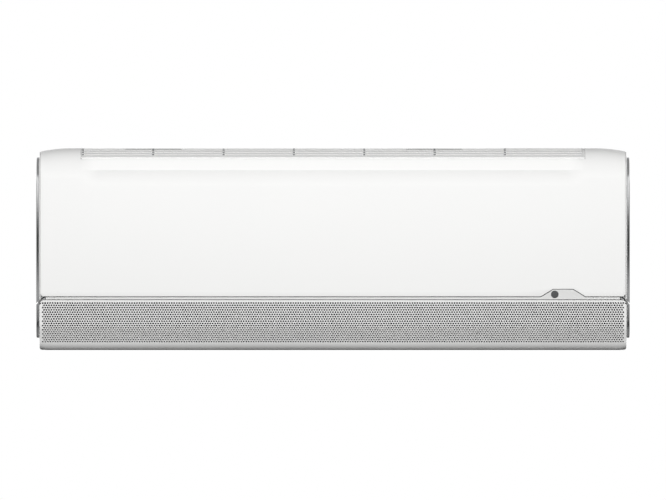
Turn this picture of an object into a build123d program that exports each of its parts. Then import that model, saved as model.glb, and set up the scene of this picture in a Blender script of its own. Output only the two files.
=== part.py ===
"""Indoor unit of a mini split air conditioner, wall mounted.

Millimetres. X runs along the unit, the front faces -Y, Z is up. The origin is the centre of
the wall bolt rectangle, on the wall plane y = 0.
"""
from build123d import *
import os
from math import acos, asin, atan2, cos, degrees, hypot, radians, sin, sqrt

# ---- overall sizes
unit_width = 940
unit_height = 320
unit_depth = 200
half_width = unit_width / 2
top = unit_height / 2
bottom = -unit_height / 2
front = -unit_depth

# ---- walls and clearances
shell_wall = 2.5          # moulded casing walls
sheet = 1.2               # steel mounting plate
gap = 0.3                 # seat clearance between pieces that only rest on each other
swing_gap = 1.2           # clearance round pieces that turn
pin_fit = 0.05            # running fit of a pin or tube in its bore

# ---- ends of the unit
ring_proud = 5            # trim ring thickness along X
cap_wall = 1.5            # end cap thickness
cap_rise = 4              # top of the end cap above the fallen top line
cap_bevel = 4             # its upper rear corner
ring_band = 7             # trim ring width seen from the side
ring_front = front + 10.5
ring_rear = -18.5
ring_low = bottom + 19.5
ring_high = top - 14
ring_nose = 38            # corner radius at the upper front
ring_corner = 24          # radius of the other corners
body_end = half_width - ring_proud - cap_wall      # outer face of the moulded body
cheek_wall = 2.5          # side walls of the casing and cheeks of the outlet panel
end_drop = 5              # fall of the top line at each end of the body
end_drop_start = 45       # where that fall begins, inwards from the body's end
near_end = 10             # a point just inside the body's end, and the fall there
near_end_drop = 3.1
past_end = 20             # a point beyond the body's end, and the fall there
past_end_drop = 9.75

# ---- front panel
panel_wall = 2.5
panel_bottom = bottom + 85
panel_toe = 5             # how far the lower edge lies behind the frontmost line
toe_flare = 0.6           # extra room behind the lower edge
panel_face = front + 0.5  # flattest line of the face
panel_bow = 0.3           # how far the face bows ahead of that line, and at what height
bow_z = 30
shoulder_radius = 50
shoulder_back = front + 60 # rear edge of the shoulders
grille_half = 402         # half length of the grille notch
grille_front_drop = 16    # top of the strip below the unit's top
crease_drop = 35          # crease below the unit's top
crease_run = 27           # height of the curve that leads up to the crease
crown_depth = 13.8        # front edge of the strip above the crease, behind the front
crease_radius = 44
panel_pivot = (front + 64, top - 6.5)
pin_radius = 2.5
pin_hole = 2.8

# ---- fan and air duct, laid out about the fan axis
fan_y = front + 102
fan_z = bottom + 125
fan_radius = 49
fan_left = -400
fan_right = 305
blade_count = 35
segment_count = 8
shaft_radius = 4
shaft_hole = shaft_radius + pin_fit
duct_left = fan_left - 10
duct_right = fan_right + 13
duct_floor = -63          # across the flow, from the fan axis
duct_ceiling = 27.6
duct_mouth = 99.7         # along the flow, from the fan axis
tongue = 46               # where the ceiling begins
scroll_start = 55.5
scroll_middle = 59

# ---- outlet panel
lid_top = bottom + 79.2
lid_edge = front + 4.5    # upper edge of the outer face
lid_upper = (front + 36.9, bottom + 45.1)
lid_lower = (front + 41.5, bottom + 23)
lid_upper_radius = 30
lid_lower_radius = 23
lid_wall = 2.2
lid_pivot = (front + 76, bottom + 23)
lid_disc = 22.8
lid_open = 70             # opening angle of the outlet panel
motor_shaft = 3
motor_bore = motor_shaft + pin_fit
below = 30                # how far the outlines of the swing room run below the unit

# ---- mounting
bolt_x = 250
bolt_z = 60
bolt_hole = 3
back_gap = 10             # room behind the chassis for the mounting plate

NODES = {}


def block(x0, x1, y0, y1, z0, z1):
    """Plain box between two corners."""
    centre = Pos((x0 + x1) / 2, (y0 + y1) / 2, (z0 + z1) / 2)
    return centre * Box(abs(x1 - x0), abs(y1 - y0), abs(z1 - z0))


def rod_x(y, z, radius, x0, x1):
    return Pos((x0 + x1) / 2, y, z) * Rot(0, 90, 0) * Cylinder(radius, x1 - x0)


def rod_y(x, z, radius, y0, y1):
    return Pos(x, (y0 + y1) / 2, z) * Rot(90, 0, 0) * Cylinder(radius, y1 - y0)


def rod_z(x, y, radius, z0, z1):
    return Pos(x, y, (z0 + z1) / 2) * Cylinder(radius, z1 - z0)


def outline(start, *steps):
    """Closed flat face. A step is a point, or a pair of points: an arc through the first."""
    edges = []
    here = start
    for step in steps:
        if isinstance(step[0], tuple):
            edges.append(ThreePointArc(here, step[0], step[1]))
            here = step[1]
        else:
            edges.append(Line(here, step))
            here = step
    if hypot(here[0] - start[0], here[1] - start[1]) > 0.001:
        edges.append(Line(here, start))
    return make_face(Curve() + edges)


def along(face, x0, x1):
    """A side view outline (Y, Z) carried along X."""
    return Pos(x0, 0, 0) * extrude(Plane.YZ * face, amount=x1 - x0)


def facing(face, y0, y1):
    """A front view outline (X, Z) carried along Y."""
    return Pos(0, y1, 0) * extrude(Plane.XZ * face, amount=y1 - y0)


def polar(centre, radius, angle):
    return (centre[0] + radius * cos(radians(angle)), centre[1] + radius * sin(radians(angle)))


def duct(s, t):
    """Side view point at s along the air flow and t across it, from the fan axis."""
    k = sqrt(0.5)
    return (fan_y - k * s - k * t, fan_z - k * s + k * t)


def both_sides(shape):
    return [shape, mirror(shape, about=Plane.YZ)]


def node(name, *shapes):
    """Keep one sub-part: its solids go to one file."""
    solids = []
    for shape in shapes:
        solids.extend(shape.solids())
    NODES[name] = solids


# ---------------------------------------------------------------- shared outlines
def end_silhouette(inset, low):
    """Front view outline of the body: a straight top that falls a little at each end."""
    edge = body_end + past_end
    high = top - inset
    bend = body_end - end_drop_start
    near = body_end - near_end
    return outline((-edge, low), (edge, low), (edge, high - past_end_drop),
                   ((near, high - near_end_drop), (bend, high)),
                   (-bend, high),
                   ((-near, high - near_end_drop), (-edge, high - past_end_drop)))


def panel_side(inset, back):
    """Side view of the front panel at a shoulder, filled back to y = back."""
    face = panel_face + inset
    centre = (panel_face + shoulder_radius, top - shoulder_radius)
    radius = shoulder_radius - inset
    low = panel_bottom if inset == 0 else panel_bottom - 10
    toe = front + panel_toe + inset + (0 if inset == 0 else toe_flare)
    return outline((back, low), (toe, low),
                   ((face - panel_bow, bow_z), (face, top - shoulder_radius)),
                   (polar(centre, radius, 135), (centre[0], top - inset)),
                   (back, top - inset))


def strip_side(inset, back):
    """Side view of the panel between the shoulders, with the crease and the strip above it."""
    face = panel_face + inset
    start = top - crease_drop - crease_run
    hub = panel_face + crease_radius
    reach = crease_radius - inset
    crease = top - crease_drop
    lift = crease - start
    mid = (hub - sqrt(reach ** 2 - (lift / 2) ** 2), start + lift / 2)
    fold = (hub - sqrt(reach ** 2 - lift ** 2), crease)
    high = top - grille_front_drop + (0 if inset == 0 else 10)
    crown = (front + crown_depth + inset, high)
    low = panel_bottom if inset == 0 else panel_bottom - 10
    toe = front + panel_toe + inset + (0 if inset == 0 else toe_flare)
    return outline((back, low), (toe, low), ((face - panel_bow, bow_z), (face, start)),
                   (mid, fold), crown, (back, high))


def lid_tangent(clear):
    """Upper edge of the outlet panel's cheek, moved outwards by clear."""
    y, z = lid_edge, lid_top
    dy, dz = y - lid_pivot[0], z - lid_pivot[1]
    lean = atan2(dz, dy) - acos(lid_disc / hypot(dy, dz))
    push = (clear * cos(lean), clear * sin(lean))
    far = (lid_pivot[0] + (lid_disc + clear) * cos(lean), lid_pivot[1] + (lid_disc + clear) * sin(lean))
    return (y + push[0], z + push[1]), far


def lid_steps(inset):
    """Side view of the outlet panel's outer face below its top edge."""
    high, low = lid_upper_radius - inset, lid_lower_radius - inset
    return [polar(lid_upper, high, 184), (polar(lid_upper, high, 198), polar(lid_upper, high, 212)),
            polar(lid_lower, low, 212), (polar(lid_lower, low, 241), polar(lid_lower, low, 270))]


def lid_fill(inset, rear, high):
    """Side view of all that lies behind the outlet panel's face, up to z = high."""
    steps = lid_steps(inset)
    edge = lid_edge + inset
    slope = (steps[0][0] - edge) / (steps[0][1] - lid_top)
    return outline((edge + slope * (high - lid_top), high), *steps, (rear, bottom + inset), (rear, high))


def swing_notch(clear):
    """Side view of all that the outlet panel's cheek covers at rest, widened by clear."""
    near, far = lid_tangent(clear)
    out = (near[0] + 4 * (near[0] - far[0]), near[1] + 4 * (near[1] - far[1]))
    low = bottom - below
    wedge = outline(near, far, lid_pivot, (lid_pivot[0], low), (out[0], low), out)
    return wedge + lid_room(clear)


def lid_room(clear):
    """Side view of the room that the rear of the outlet panel sweeps as it opens."""
    reach = lid_disc + clear
    tilt = radians(90 - lid_open)
    low = bottom - below
    behind = lid_pivot[0] + (reach - (lid_pivot[1] - low) * sin(tilt)) / cos(tilt)
    flat = outline(lid_pivot, polar(lid_pivot, reach, lid_open - 90), (behind, low),
                   (lid_pivot[0] - reach, low))
    return flat + Pos(*lid_pivot) * Circle(reach)


# ---------------------------------------------------------------- wall side
plate_half = 330
plate_low = -75
plate_high = 105
hook_x = 180
hook_z = 95


def mounting_plate():
    """Pressed steel plate that is bolted to the wall; the unit hangs on its two hooks."""
    plate = block(-plate_half, plate_half, -sheet, 0, plate_low, plate_high)
    for z in (plate_low, plate_high - sheet):
        plate += block(-plate_half, plate_half, -back_gap + gap, -sheet, z, z + sheet)
    for x in (-150, -50, 50, 150):
        plate -= block(x - 40, x + 40, -20, 5, -40, 40)
    for x in (-bolt_x, bolt_x):
        for z in (-bolt_z, bolt_z):
            plate -= rod_y(x, z, bolt_hole, -10, 10)
        plate -= block(x - 25, x + 25, -20, 5, -20, 20)
    for x in (-hook_x, hook_x):
        plate += block(x - 12, x + 12, -16, -sheet, hook_z, hook_z + sheet)
        plate += block(x - 12, x + 12, -16, -16 + sheet, hook_z, hook_z + 8)
    return plate


back_wall = -back_gap - shell_wall
recess_top = bottom + 62
recess_front = -50
chassis_high = top - 10
rear_shelf = fan_z + 65
end_wall_in = body_end - cheek_wall - gap - shell_wall
lower_wall = front + 101.6


def duct_side():
    """Side view of the end walls that close the air duct and the ends of the fan."""
    tip = duct(tongue, duct_ceiling - 0.4)
    mouth_high = duct(duct_mouth, duct_ceiling - 0.4)
    mouth_low = duct(duct_mouth, duct_floor - shell_wall)
    return outline((back_wall, rear_shelf), (back_wall, recess_top), (recess_front, recess_top),
                   (lower_wall - 4, bottom + 28), mouth_low, mouth_high, tip,
                   (tip[0] + 1, fan_z + 20), (fan_y - 10, fan_z + 58), (fan_y + 20, rear_shelf))


def scroll():
    """Curved rear wall behind the fan, running out into the straight floor of the duct."""
    axis = (fan_y, fan_z)
    wall = shell_wall
    low = abs(duct_floor)
    start = polar(axis, scroll_start, 60)
    return along(outline(start,
                         (polar(axis, scroll_middle, 7), polar(axis, low, -45)),
                         duct(duct_mouth, duct_floor), duct(duct_mouth, duct_floor - wall),
                         polar(axis, low + wall, -45),
                         (polar(axis, scroll_middle + wall, 7), polar(axis, scroll_start + wall, 60))),
                 duct_left, duct_right)


motor_x0 = duct_right + 4
motor_x1 = motor_x0 + 64
motor_radius = 42
mount_wall = 3.5
lid_motor_x0 = 425
lid_motor_x1 = 447
lid_motor_radius = 13


def chassis():
    """Moulded back frame: back wall, pipe recess, fan scroll, duct ends and motor cradle."""
    wide = end_wall_in
    shape = block(-wide, wide, back_wall, -back_gap, recess_top, chassis_high)
    shape += block(-wide, wide, recess_front, -back_gap, recess_top - shell_wall, recess_top)
    shape += block(-wide, wide, recess_front - shell_wall, recess_front, bottom, recess_top)
    room = along(lid_room(swing_gap + gap), -half_width, half_width)
    sole = block(-wide, wide, lid_pivot[0] + 5, recess_front, bottom, bottom + shell_wall)
    shape += sole - room
    lip = along(lid_room(swing_gap + gap + shell_wall), duct_left, duct_right)
    lip &= block(duct_left, duct_right, lid_pivot[0] + 8, recess_front, bottom, lid_pivot[1] + 4)
    shape += lip - room
    shape += scroll()
    start = polar((fan_y, fan_z), scroll_start, 60)
    shape += along(outline(start, (start[0] - 2, start[1] + 1.5), (start[0] - 1, start[1] + 12),
                           (start[0] + 1.5, start[1] + 12), (start[0] + 3, start[1] + 3),
                           (back_wall, rear_shelf), (back_wall, rear_shelf - shell_wall)),
                   duct_left, duct_right)
    side = duct_side()
    for x in (duct_left - shell_wall, duct_right):
        shape += along(side, x, x + shell_wall)
    shelf = lid_pivot[1] + lid_motor_radius + gap
    axis_side = outline((-back_gap, chassis_high), (-back_gap, bottom), (lower_wall, bottom),
                        (lower_wall, bottom + 26), (lid_pivot[0] + 13.5, shelf),
                        (lid_pivot[0] - 13.5, shelf), (front + 45, bottom + 80), (front + 45, top - 40),
                        (front + 70, top - 24), (-30, top - 24), (-30, chassis_high))
    for wall in both_sides(along(axis_side, wide, wide + shell_wall)):
        shape += wall
    rib = outline((back_wall, rear_shelf - 1), (back_wall, recess_top - 1),
                  (recess_front - 1, recess_top - 1), (recess_front - 1, bottom + 1),
                  (lower_wall + 1, bottom + 1), (lower_wall + 1, bottom + 19), (fan_y + 50, fan_z - 40),
                  (fan_y + 60, fan_z), (fan_y + 52, fan_z + 30))
    for x in (-300, -190, -80, 30, 140, 250):
        shape += along(rib, x, x + 2)
    for x in (-hook_x, hook_x):
        shape -= block(x - 14, x + 14, -30, 0, hook_z - 1, hook_z + 10)
    cradle = block(motor_x0 + 12, motor_x1 - 12, fan_y - 34, fan_y + 40, bottom + 6, fan_z - 4)
    cradle += block(duct_right, motor_x1, fan_y + 25, fan_y + 40, bottom, bottom + 30)
    cradle -= room
    shape += cradle - rod_x(fan_y, fan_z, motor_radius + mount_wall, motor_x0, motor_x1)
    shape -= rod_x(fan_y, fan_z, 7, duct_right - 5, duct_right + 5)
    shape -= rod_x(fan_y, fan_z, 14, duct_left - 5, duct_left + 1)
    seat = lid_pivot[1] + lid_motor_radius + gap
    bracket = block(lid_motor_x0 - 2, wide, lid_pivot[0] - 13.5, lid_pivot[0] + 13.5, seat, seat + 3)
    for piece in both_sides(bracket):
        shape += piece
    for piece in both_sides(rod_x(lid_pivot[0], lid_pivot[1], 9, wide - 8, wide + 5)):
        shape -= piece
    for side in ("left", "right"):
        for number, x in enumerate(vane_places(side)):
            hole = vane_drive_pin if number == 0 else vane_pin
            shape -= pin_across(x, vane_pivot_s, hole + gap, duct_floor - 4, duct_floor + 1)
        x = vane_places(side)[0]
        low = duct_floor - shell_wall
        shape -= pin_across(x, vane_pivot_s, vane_motor_radius + swing_gap, low - 20, low)
    y, z = louver_axis
    for x, radius in ((duct_left - shell_wall, 6), (duct_right, 11)):
        ear = slab(x, x + shell_wall, duct_mouth - 4, louver_s, louver_t - radius, louver_t + radius)
        shape += ear + rod_x(y, z, radius, x, x + shell_wall)
    shape -= rod_x(y, z, louver_pin + gap, duct_left - shell_wall - 1, duct_right + shell_wall + 1)
    shape -= block(suction_x - 10, liquid_x + 12, -43, -16, recess_top - 5, recess_top + 5)
    for z in screw_rows:
        boss = rod_y(screw_x, z, 5, plate_front + shell_wall, front + 46)
        boss += block(screw_x, wide + 1, plate_front + shell_wall, front + 46, z - 1.5, z + 1.5)
        boss -= rod_y(screw_x, z, screw_radius, plate_front, front + 40)
        for piece in both_sides(boss):
            shape += piece
    return shape


# ---------------------------------------------------------------- front casing and ends
casing_front = front + 68.5
casing_back = -12
plate_front = front + 16.6
window_low = -34
bar_low = bottom + 80.3
bar_front = front + 10
side_wall = body_end - cheek_wall
partition_x = 336
grille_radius = 115
grille_start = front + 72
filter_start = -396.5
bay_pitch = 111.5
bay_count = 6
frame_bays = 3
filter_middle = filter_start + frame_bays * bay_pitch
filter_x = [(filter_start, filter_middle), (filter_middle, filter_middle + frame_bays * bay_pitch)]
filter_back = -25
blind_end = 394
rib_wall = 3
slot_angles = [24.5, 20, 15.5, 11, 6.5]
slot_width = 4
handle_width = 88
button_x = 420
button_z = -62
button_radius = 3.2
button_hole = 3.6


def grille_sheet():
    """Curved grille at the top front edge, with rows of slots between its ribs."""
    hub = (grille_start, top - grille_radius)
    reach = grille_start - (plate_front + 0.4)
    lean = degrees(asin(reach / grille_radius))
    out, inner = grille_radius, grille_radius - shell_wall
    face = outline(polar(hub, out, 90), (polar(hub, out, 90 + lean / 2), polar(hub, out, 90 + lean)),
                   polar(hub, inner, 90 + lean),
                   (polar(hub, inner, 90 + lean / 2), polar(hub, inner, 90)))
    half = grille_half - panel_wall - gap
    sheet_part = along(face, -half, half)
    cuts = []
    for row in slot_angles:
        for i in range(bay_count + 1):
            left = filter_x[0][0] + i * bay_pitch + rib_wall / 2
            right = left + bay_pitch - rib_wall
            if i == bay_count:
                right = blind_end
            length = right - left
            centre = polar(hub, out, 90 + row)
            cut = Pos((left + right) / 2, *centre) * Rot(row, 0, 0) * Box(length, slot_width, 12)
            cuts.append(cut)
    return sheet_part - cuts


def casing_shell():
    """Top plate, rounded down at its ends, with both side walls behind the front panel."""
    wall = shell_wall
    end = side_wall
    fill = block(-body_end + gap, body_end - gap, casing_front, casing_back, bottom, top)
    low = block(-body_end + gap, body_end - gap, front + 16, casing_front, bottom, top - 12)
    low -= block(-grille_half - 60, grille_half + 60, front, casing_front, -1000, 1000)
    low &= along(panel_side(panel_wall + 1, casing_front), -half_width, half_width)
    outer = (fill + low) & facing(end_silhouette(0, bottom), front - 5, 5)
    inner = block(-end, end, front - 5, 5, bottom - 5, top + 5)
    inner &= facing(end_silhouette(wall, bottom - 4), front - 6, 6)
    shell = outer - inner
    return shell - along(swing_notch(swing_gap), -half_width, half_width)


def front_casing():
    """Moulded front casing with the top grille, filter openings and the window frame."""
    shape = casing_shell()
    shape += grille_sheet()
    wall = shell_wall
    for x0, x1 in filter_x:
        shape -= block(x0 + rib_wall / 2, x1 - rib_wall / 2, casing_front - 5, filter_back,
                       top - 4, top + 4)
    shape += block(filter_x[0][0], blind_end, casing_front, filter_back, top - 14, top - 11.5)
    for x0, x1 in filter_x:
        shape -= block(x0 + 6, x1 - 6, casing_front + 3, filter_back - 5, top - 20, top - 5)
    for x in [filter_x[0][0], filter_x[0][1], filter_x[1][1]]:
        shape += block(x - rib_wall / 2, x + rib_wall / 2, grille_start - 3, filter_back, top - 14, top - 1)
    for i in range(9):
        y = casing_front + 12 + i * 10
        shape -= block(filter_x[1][1] + 6, blind_end, y, y + slot_width, top - 4, top + 4)
    plate = block(-side_wall, side_wall, plate_front, plate_front + wall, window_low - 16, top - 14.5)
    plate -= block(duct_left - 26, partition_x, front, -100, window_low, top - 45)
    plate -= block(partition_x + 8, side_wall - 12, front, -100, window_low, top - 45)
    for piece in both_sides(block(grille_half - wall - 1, grille_half + wall + 1, front, -100,
                                  top - 42, top)):
        plate -= piece
    shape += plate & along(panel_side(panel_wall + 0.6, -150), -half_width, half_width)
    shape += block(-side_wall, side_wall, bar_front, bar_front + wall, bar_low, window_low - 16)
    shape += block(-side_wall, side_wall, bar_front, plate_front + wall,
                   window_low - 16 - wall, window_low - 16)
    for piece in both_sides(block(side_wall - 1, body_end - gap, bar_front, plate_front + 8,
                                  bar_low + 6, window_low)):
        shape += piece
    for centre in handle_centres():
        shape -= block(centre - handle_width / 2 - 1, centre + handle_width / 2 + 1,
                       grille_start - 26, grille_start + 2, top - 9, top + 2)
    for piece in both_sides(panel_hinge_ears()):
        shape += piece
    shape -= rod_y(button_x, button_z, button_hole, front, -150)
    return shape


def handle_centres():
    return [filter_x[0][0] + bay_pitch, filter_x[1][0] + 2 * bay_pitch]


split_drop = 11.2         # low end of the 45 degree split of the trim rings, below lid_top
ear_x0 = 431
ear_x1 = 435


def panel_hinge_ears():
    """Ear that holds one pin of the front panel."""
    y, z = panel_pivot
    ear = block(ear_x0, ear_x1, y - 6, casing_front + 8, z - 12, z - 4)
    ear += block(ear_x0, ear_x1, casing_front + 2, casing_front + 12, z - 12, top - 2)
    ear += rod_x(y, z, pin_hole + 1.8, ear_x0, ear_x1)
    return ear - rod_x(y, z, pin_hole, ear_x0 - 1, ear_x1 + 1)


def ring_side(inset):
    """Rounded rectangle of the trim ring, seen from the side."""
    y0, y1 = ring_front + inset, ring_rear - inset
    z0, z1 = ring_low + inset, ring_high - inset
    r = ring_nose - inset
    s = ring_corner - inset
    return outline((y0, z0 + s), (y0, z1 - r),
                   (polar((y0 + r, z1 - r), r, 135), (y0 + r, z1)), (y1 - s, z1),
                   (polar((y1 - s, z1 - s), s, 45), (y1, z1 - s)), (y1, z0 + s),
                   (polar((y1 - s, z0 + s), s, -45), (y1 - s, z0)), (y0 + s, z0),
                   (polar((y0 + s, z0 + s), s, 225), (y0, z0 + s)))


def end_side(inset):
    """Side view of the whole end: panel profile above, lid profile below."""
    face = panel_face + inset
    hub = (panel_face + shoulder_radius, top - end_drop - shoulder_radius + cap_rise)
    r = shoulder_radius - inset
    lid = lid_steps(inset)
    high = hub[1] + r
    return outline(lid[0], (lid_edge + inset, lid_top), ((face - panel_bow, bow_z), (face, hub[1])),
                   (polar(hub, r, 135), (hub[0], high)), (casing_back - cap_bevel, high),
                   (casing_back, high - cap_bevel), (casing_back, bottom + inset),
                   lid[3][1], (lid[3][0], lid[2]), lid[1][1], (lid[1][0], lid[0]))


def split_wedge(offset):
    """Everything above the 45 degree split at the right end of the unit."""
    x0, x1 = body_end - 6, half_width + 5
    low = lid_top - split_drop + offset
    high = low + x1 - x0
    return facing(outline((x0, high), (x1, low), (x1, top + 10), (x0, top + 10)), front - 5, 5)


def end_pieces():
    """End cap and the bright ring in its fixed and its swinging part, at the right end."""
    moving = along(swing_notch(swing_gap), body_end - 5, half_width + 5)
    cap = along(end_side(0.4), body_end, body_end + cap_wall) - moving
    field = along(ring_side(ring_band + gap), body_end + cap_wall, body_end + cap_wall + 2)
    cap += field - along(swing_notch(swing_gap + 1), body_end - 5, half_width + 5)
    ring = along(ring_side(0), body_end + cap_wall, half_width)
    ring -= along(ring_side(ring_band), body_end, half_width + 1)
    split_y = front + 35
    ahead = block(0, half_width + 5, front - 5, split_y, bottom - 5, top + 5)
    swinging = along(swing_notch(0), body_end - 5, half_width + 5)
    fixed = (ring & ahead & split_wedge(swing_gap)) + ((ring - ahead) - moving)
    turned = ((ring & ahead) - split_wedge(0)) + ((ring - ahead) & swinging)
    return cap, fixed, turned


cap_right, ring_right, lid_ring_right = end_pieces()
node("end_cap_left", mirror(cap_right, about=Plane.YZ))
node("end_cap_right", cap_right)
node("trim_ring_left", mirror(ring_right, about=Plane.YZ))
node("trim_ring_right", ring_right)


# ---------------------------------------------------------------- front panel and display
lug_x0 = 424
lug_x1 = 430
bump_x = [329.5, 349, 380.4, 399.7]
bump_top = bottom + 95.9
strip_high = bottom + 83.8
strip_low = bottom + 80.3
strip_half = 455
lens_x = 351.3
lens_z = bottom + 88.3
lens_radius = 6


def bump_side(grow):
    """Front view of the raised middle of the display strip."""
    a, b, c, d = bump_x
    return outline((a - grow, strip_low), (a - grow, strip_high + grow), (b - grow / 2, bump_top + grow),
                   (c + grow / 2, bump_top + grow), (d + grow, strip_high + grow), (d + grow, strip_low))


def front_panel():
    """One glossy moulded shell: face, strip above the crease, and both shoulders."""
    end = body_end - gap
    wall = panel_wall
    outer = along(panel_side(0, shoulder_back), -end, end) & facing(end_silhouette(0, bottom), front - 5, 5)
    outer -= block(-grille_half, grille_half, front - 5, 5, bottom, top + 5)
    outer += along(strip_side(0, front + 50), -grille_half, grille_half)
    inner = along(panel_side(wall, -50), -half_width, half_width)
    inner &= facing(end_silhouette(wall, bottom - 4), front - 6, 6)
    rib = grille_half + wall
    inner -= block(-rib, rib, front - 5, 5, bottom - 5, top + 5)
    core = grille_half - wall
    inner += along(strip_side(wall, -40), -core, core)
    crease_start = top - crease_drop - crease_run
    below = block(-half_width, half_width, front, 0, bottom - 5, crease_start)
    for depth in (wall * 5, wall):
        hollow = along(panel_side(depth, -40), core - 1, rib + 1)
        for side in both_sides(hollow if depth > wall else hollow & below):
            inner += side
    shape = outer - inner
    shape -= facing(bump_side(0.8), front - 5, front + 20)
    for x in (-300, 0, 250):
        shape += block(x - 9, x + 9, front + 6.5, bar_front - gap, panel_bottom + 1, panel_bottom + 7)
    y, z = panel_pivot
    lug = rod_x(y, z, 4.5, lug_x0, lug_x1) + rod_x(y, z, pin_radius, lug_x1 - 1, ear_x1 + 1)
    lug += block(lug_x0, lug_x1, y - 12, y - 1, z - 3, z + 4.2)
    for side in both_sides(lug):
        shape += side
    return shape


def display_strip():
    """Tinted strip below the front panel with the raised window of the display."""
    shape = block(-strip_half, strip_half, front + 5.5, bar_front, strip_low, strip_high)
    shape += facing(bump_side(0), front + 4.8, bar_front)
    return shape - rod_y(lens_x, lens_z, lens_radius + pin_fit, front, front + 7.2)


node("front_panel", front_panel())
node("display_strip", display_strip())
node("receiver_lens", rod_y(lens_x, lens_z, lens_radius, front + 4, front + 7.2))
board = block(bump_x[1] - 1, bump_x[3] - 4, bar_front + shell_wall + 2, bar_front + shell_wall + 3.6,
              bottom + 81, bottom + 105)
for x in (bump_x[1] + 4, bump_x[3] - 9):
    board += block(x - 3, x + 3, bar_front + shell_wall, bar_front + shell_wall + 2.5,
                   bottom + 90, bottom + 96)
node("display_board", board)
button = rod_y(button_x, button_z, button_radius, bar_front - 1, bar_front + shell_wall + 1)
button += rod_y(button_x, button_z, button_radius + 1.6, bar_front + shell_wall + gap,
                bar_front + shell_wall + gap + 1.5)
node("manual_button", button)


# ---------------------------------------------------------------- outlet panel
cheek_face = body_end + cap_wall
cheek_in = body_end - cheek_wall
boss_radius = 7
boss_in = lid_motor_x1 + 2
frame_inset = 5.2
frame_wall = 2
frame_half = 416
frame_rear = front + 60
lid_rib_pitch = 104


def lid_cheek():
    """End plate of the outlet panel with the disc and boss that it turns on."""
    near, far = lid_tangent(0)
    y, z = lid_pivot
    face = outline(near, *lid_steps(0), (y, bottom), (y, z), far)
    face += Pos(y, z) * Circle(lid_disc)
    plate = along(face, cheek_in, cheek_face)
    plate += rod_x(y, z, boss_radius, boss_in, cheek_in + 1)
    return plate - rod_x(y, z, motor_bore, boss_in - 1, boss_in + 9)


def deflector_panel():
    """Perforated outer panel that closes the air outlet; the holes are not cut here."""
    rear = lid_pivot[0] + 2
    shape = along(lid_fill(0, rear, lid_top), -cheek_in, cheek_in)
    shape -= along(lid_fill(lid_wall, rear + 5, lid_top + 5), -cheek_in - 1, cheek_in + 1)
    for side in both_sides(lid_cheek()):
        shape += side
    return shape


def deflector_frame():
    """Inner stiffening sheet of the outlet panel, held off it by ribs."""
    far, wall = frame_inset, frame_wall
    shape = along(lid_fill(far, frame_rear, lid_top - 2), -frame_half, frame_half)
    shape -= along(lid_fill(far + wall, frame_rear + 5, lid_top + 5), -frame_half - 1, frame_half + 1)
    rib = along(lid_fill(lid_wall, frame_rear, lid_top - 2), -1, 1)
    rib -= along(lid_fill(far + 1, frame_rear + 5, lid_top + 5), -2, 2)
    for i in range(-4, 5):
        shape += Pos(min(max(i * lid_rib_pitch, 1 - frame_half), frame_half - 1), 0, 0) * rib
    return shape


def step_motor(x0, x1, y, z, radius, shaft, shaft_x):
    """Small step motor along X with its shaft out to shaft_x."""
    body = rod_x(y, z, radius, x0, x1)
    start = x1 - 1 if shaft_x > x1 else x0 + 1
    return body + rod_x(y, z, shaft, min(start, shaft_x), max(start, shaft_x))


node("deflector_panel", deflector_panel())
node("deflector_frame", deflector_frame())
node("deflector_trims", *both_sides(lid_ring_right))
lid_motor = step_motor(lid_motor_x0, lid_motor_x1, *lid_pivot, lid_motor_radius, motor_shaft, boss_in + 8)
node("deflector_motor_left", mirror(lid_motor, about=Plane.YZ))
node("deflector_motor_right", lid_motor)


# ---------------------------------------------------------------- louver and vanes
louver_s = 107
louver_t = -18
louver_chord = 28
louver_wall = 2.4
louver_left = duct_left + 6
louver_right = duct_right - 6
louver_pin = 2.5
vane_s0 = 58
vane_s1 = 88
vane_t0 = -50
vane_t1 = 22
vane_wall = 1.6
vane_pivot_s = 61
vane_pin = 1.8
vane_drive_pin = 2.6
vane_shaft = 1.5
vane_count = 5
vane_pitch = 70
vane_first = {"left": -360, "right": -12}
link_s = 79
link_pin = 1.2
link_clear = 0.3
vane_motor_radius = 10
louver_axis = duct(louver_s, louver_t)


def slab(x0, x1, s0, s1, t0, t1):
    """Box laid out along (s) and across (t) the air flow."""
    face = outline(duct(s0, t0), duct(s1, t0), duct(s1, t1), duct(s0, t1))
    return along(face, x0, x1)


def pin_across(x, s, radius, t0, t1):
    """Round pin across the air flow, from t0 to t1."""
    centre = duct(s, (t0 + t1) / 2)
    return Pos(x, *centre) * Rot(45, 0, 0) * Cylinder(radius, t1 - t0)


def inner_louver():
    """Long blade inside the outlet that steers the air up and down."""
    half = louver_chord / 2
    blade = slab(louver_left, louver_right, louver_s - louver_wall / 2, louver_s + louver_wall / 2,
                 louver_t - half, louver_t + half)
    y, z = louver_axis
    hub = rod_x(y, z, louver_pin + 2, louver_left, louver_right)
    hub += rod_x(y, z, louver_pin, duct_left - shell_wall, louver_left + 1)
    return blade + hub - rod_x(y, z, louver_pin + pin_fit, louver_right - 12, louver_right + 1)


def vane(x, driven):
    """Upright blade on a pin, with a foot that carries the link pin."""
    shape = slab(x - vane_wall / 2, x + vane_wall / 2, vane_s0, vane_s1, vane_t0, vane_t1)
    foot_low = vane_t0 - 3
    shape += slab(x - 2.5, x + 2.5, vane_pivot_s - 3, link_s + 3, foot_low, vane_t0 + 0.5)
    shape += pin_across(x, link_s, link_pin, foot_low - 4, foot_low + 1)
    radius = vane_drive_pin if driven else vane_pin
    shape += pin_across(x, vane_pivot_s, radius, duct_floor - shell_wall + 0.5, vane_t0 + 1)
    if driven:
        shape -= pin_across(x, vane_pivot_s, vane_shaft + pin_fit, duct_floor - shell_wall, vane_t0 - 4)
    return shape


def vane_places(side):
    return [vane_first[side] + i * vane_pitch for i in range(vane_count)]


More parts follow.
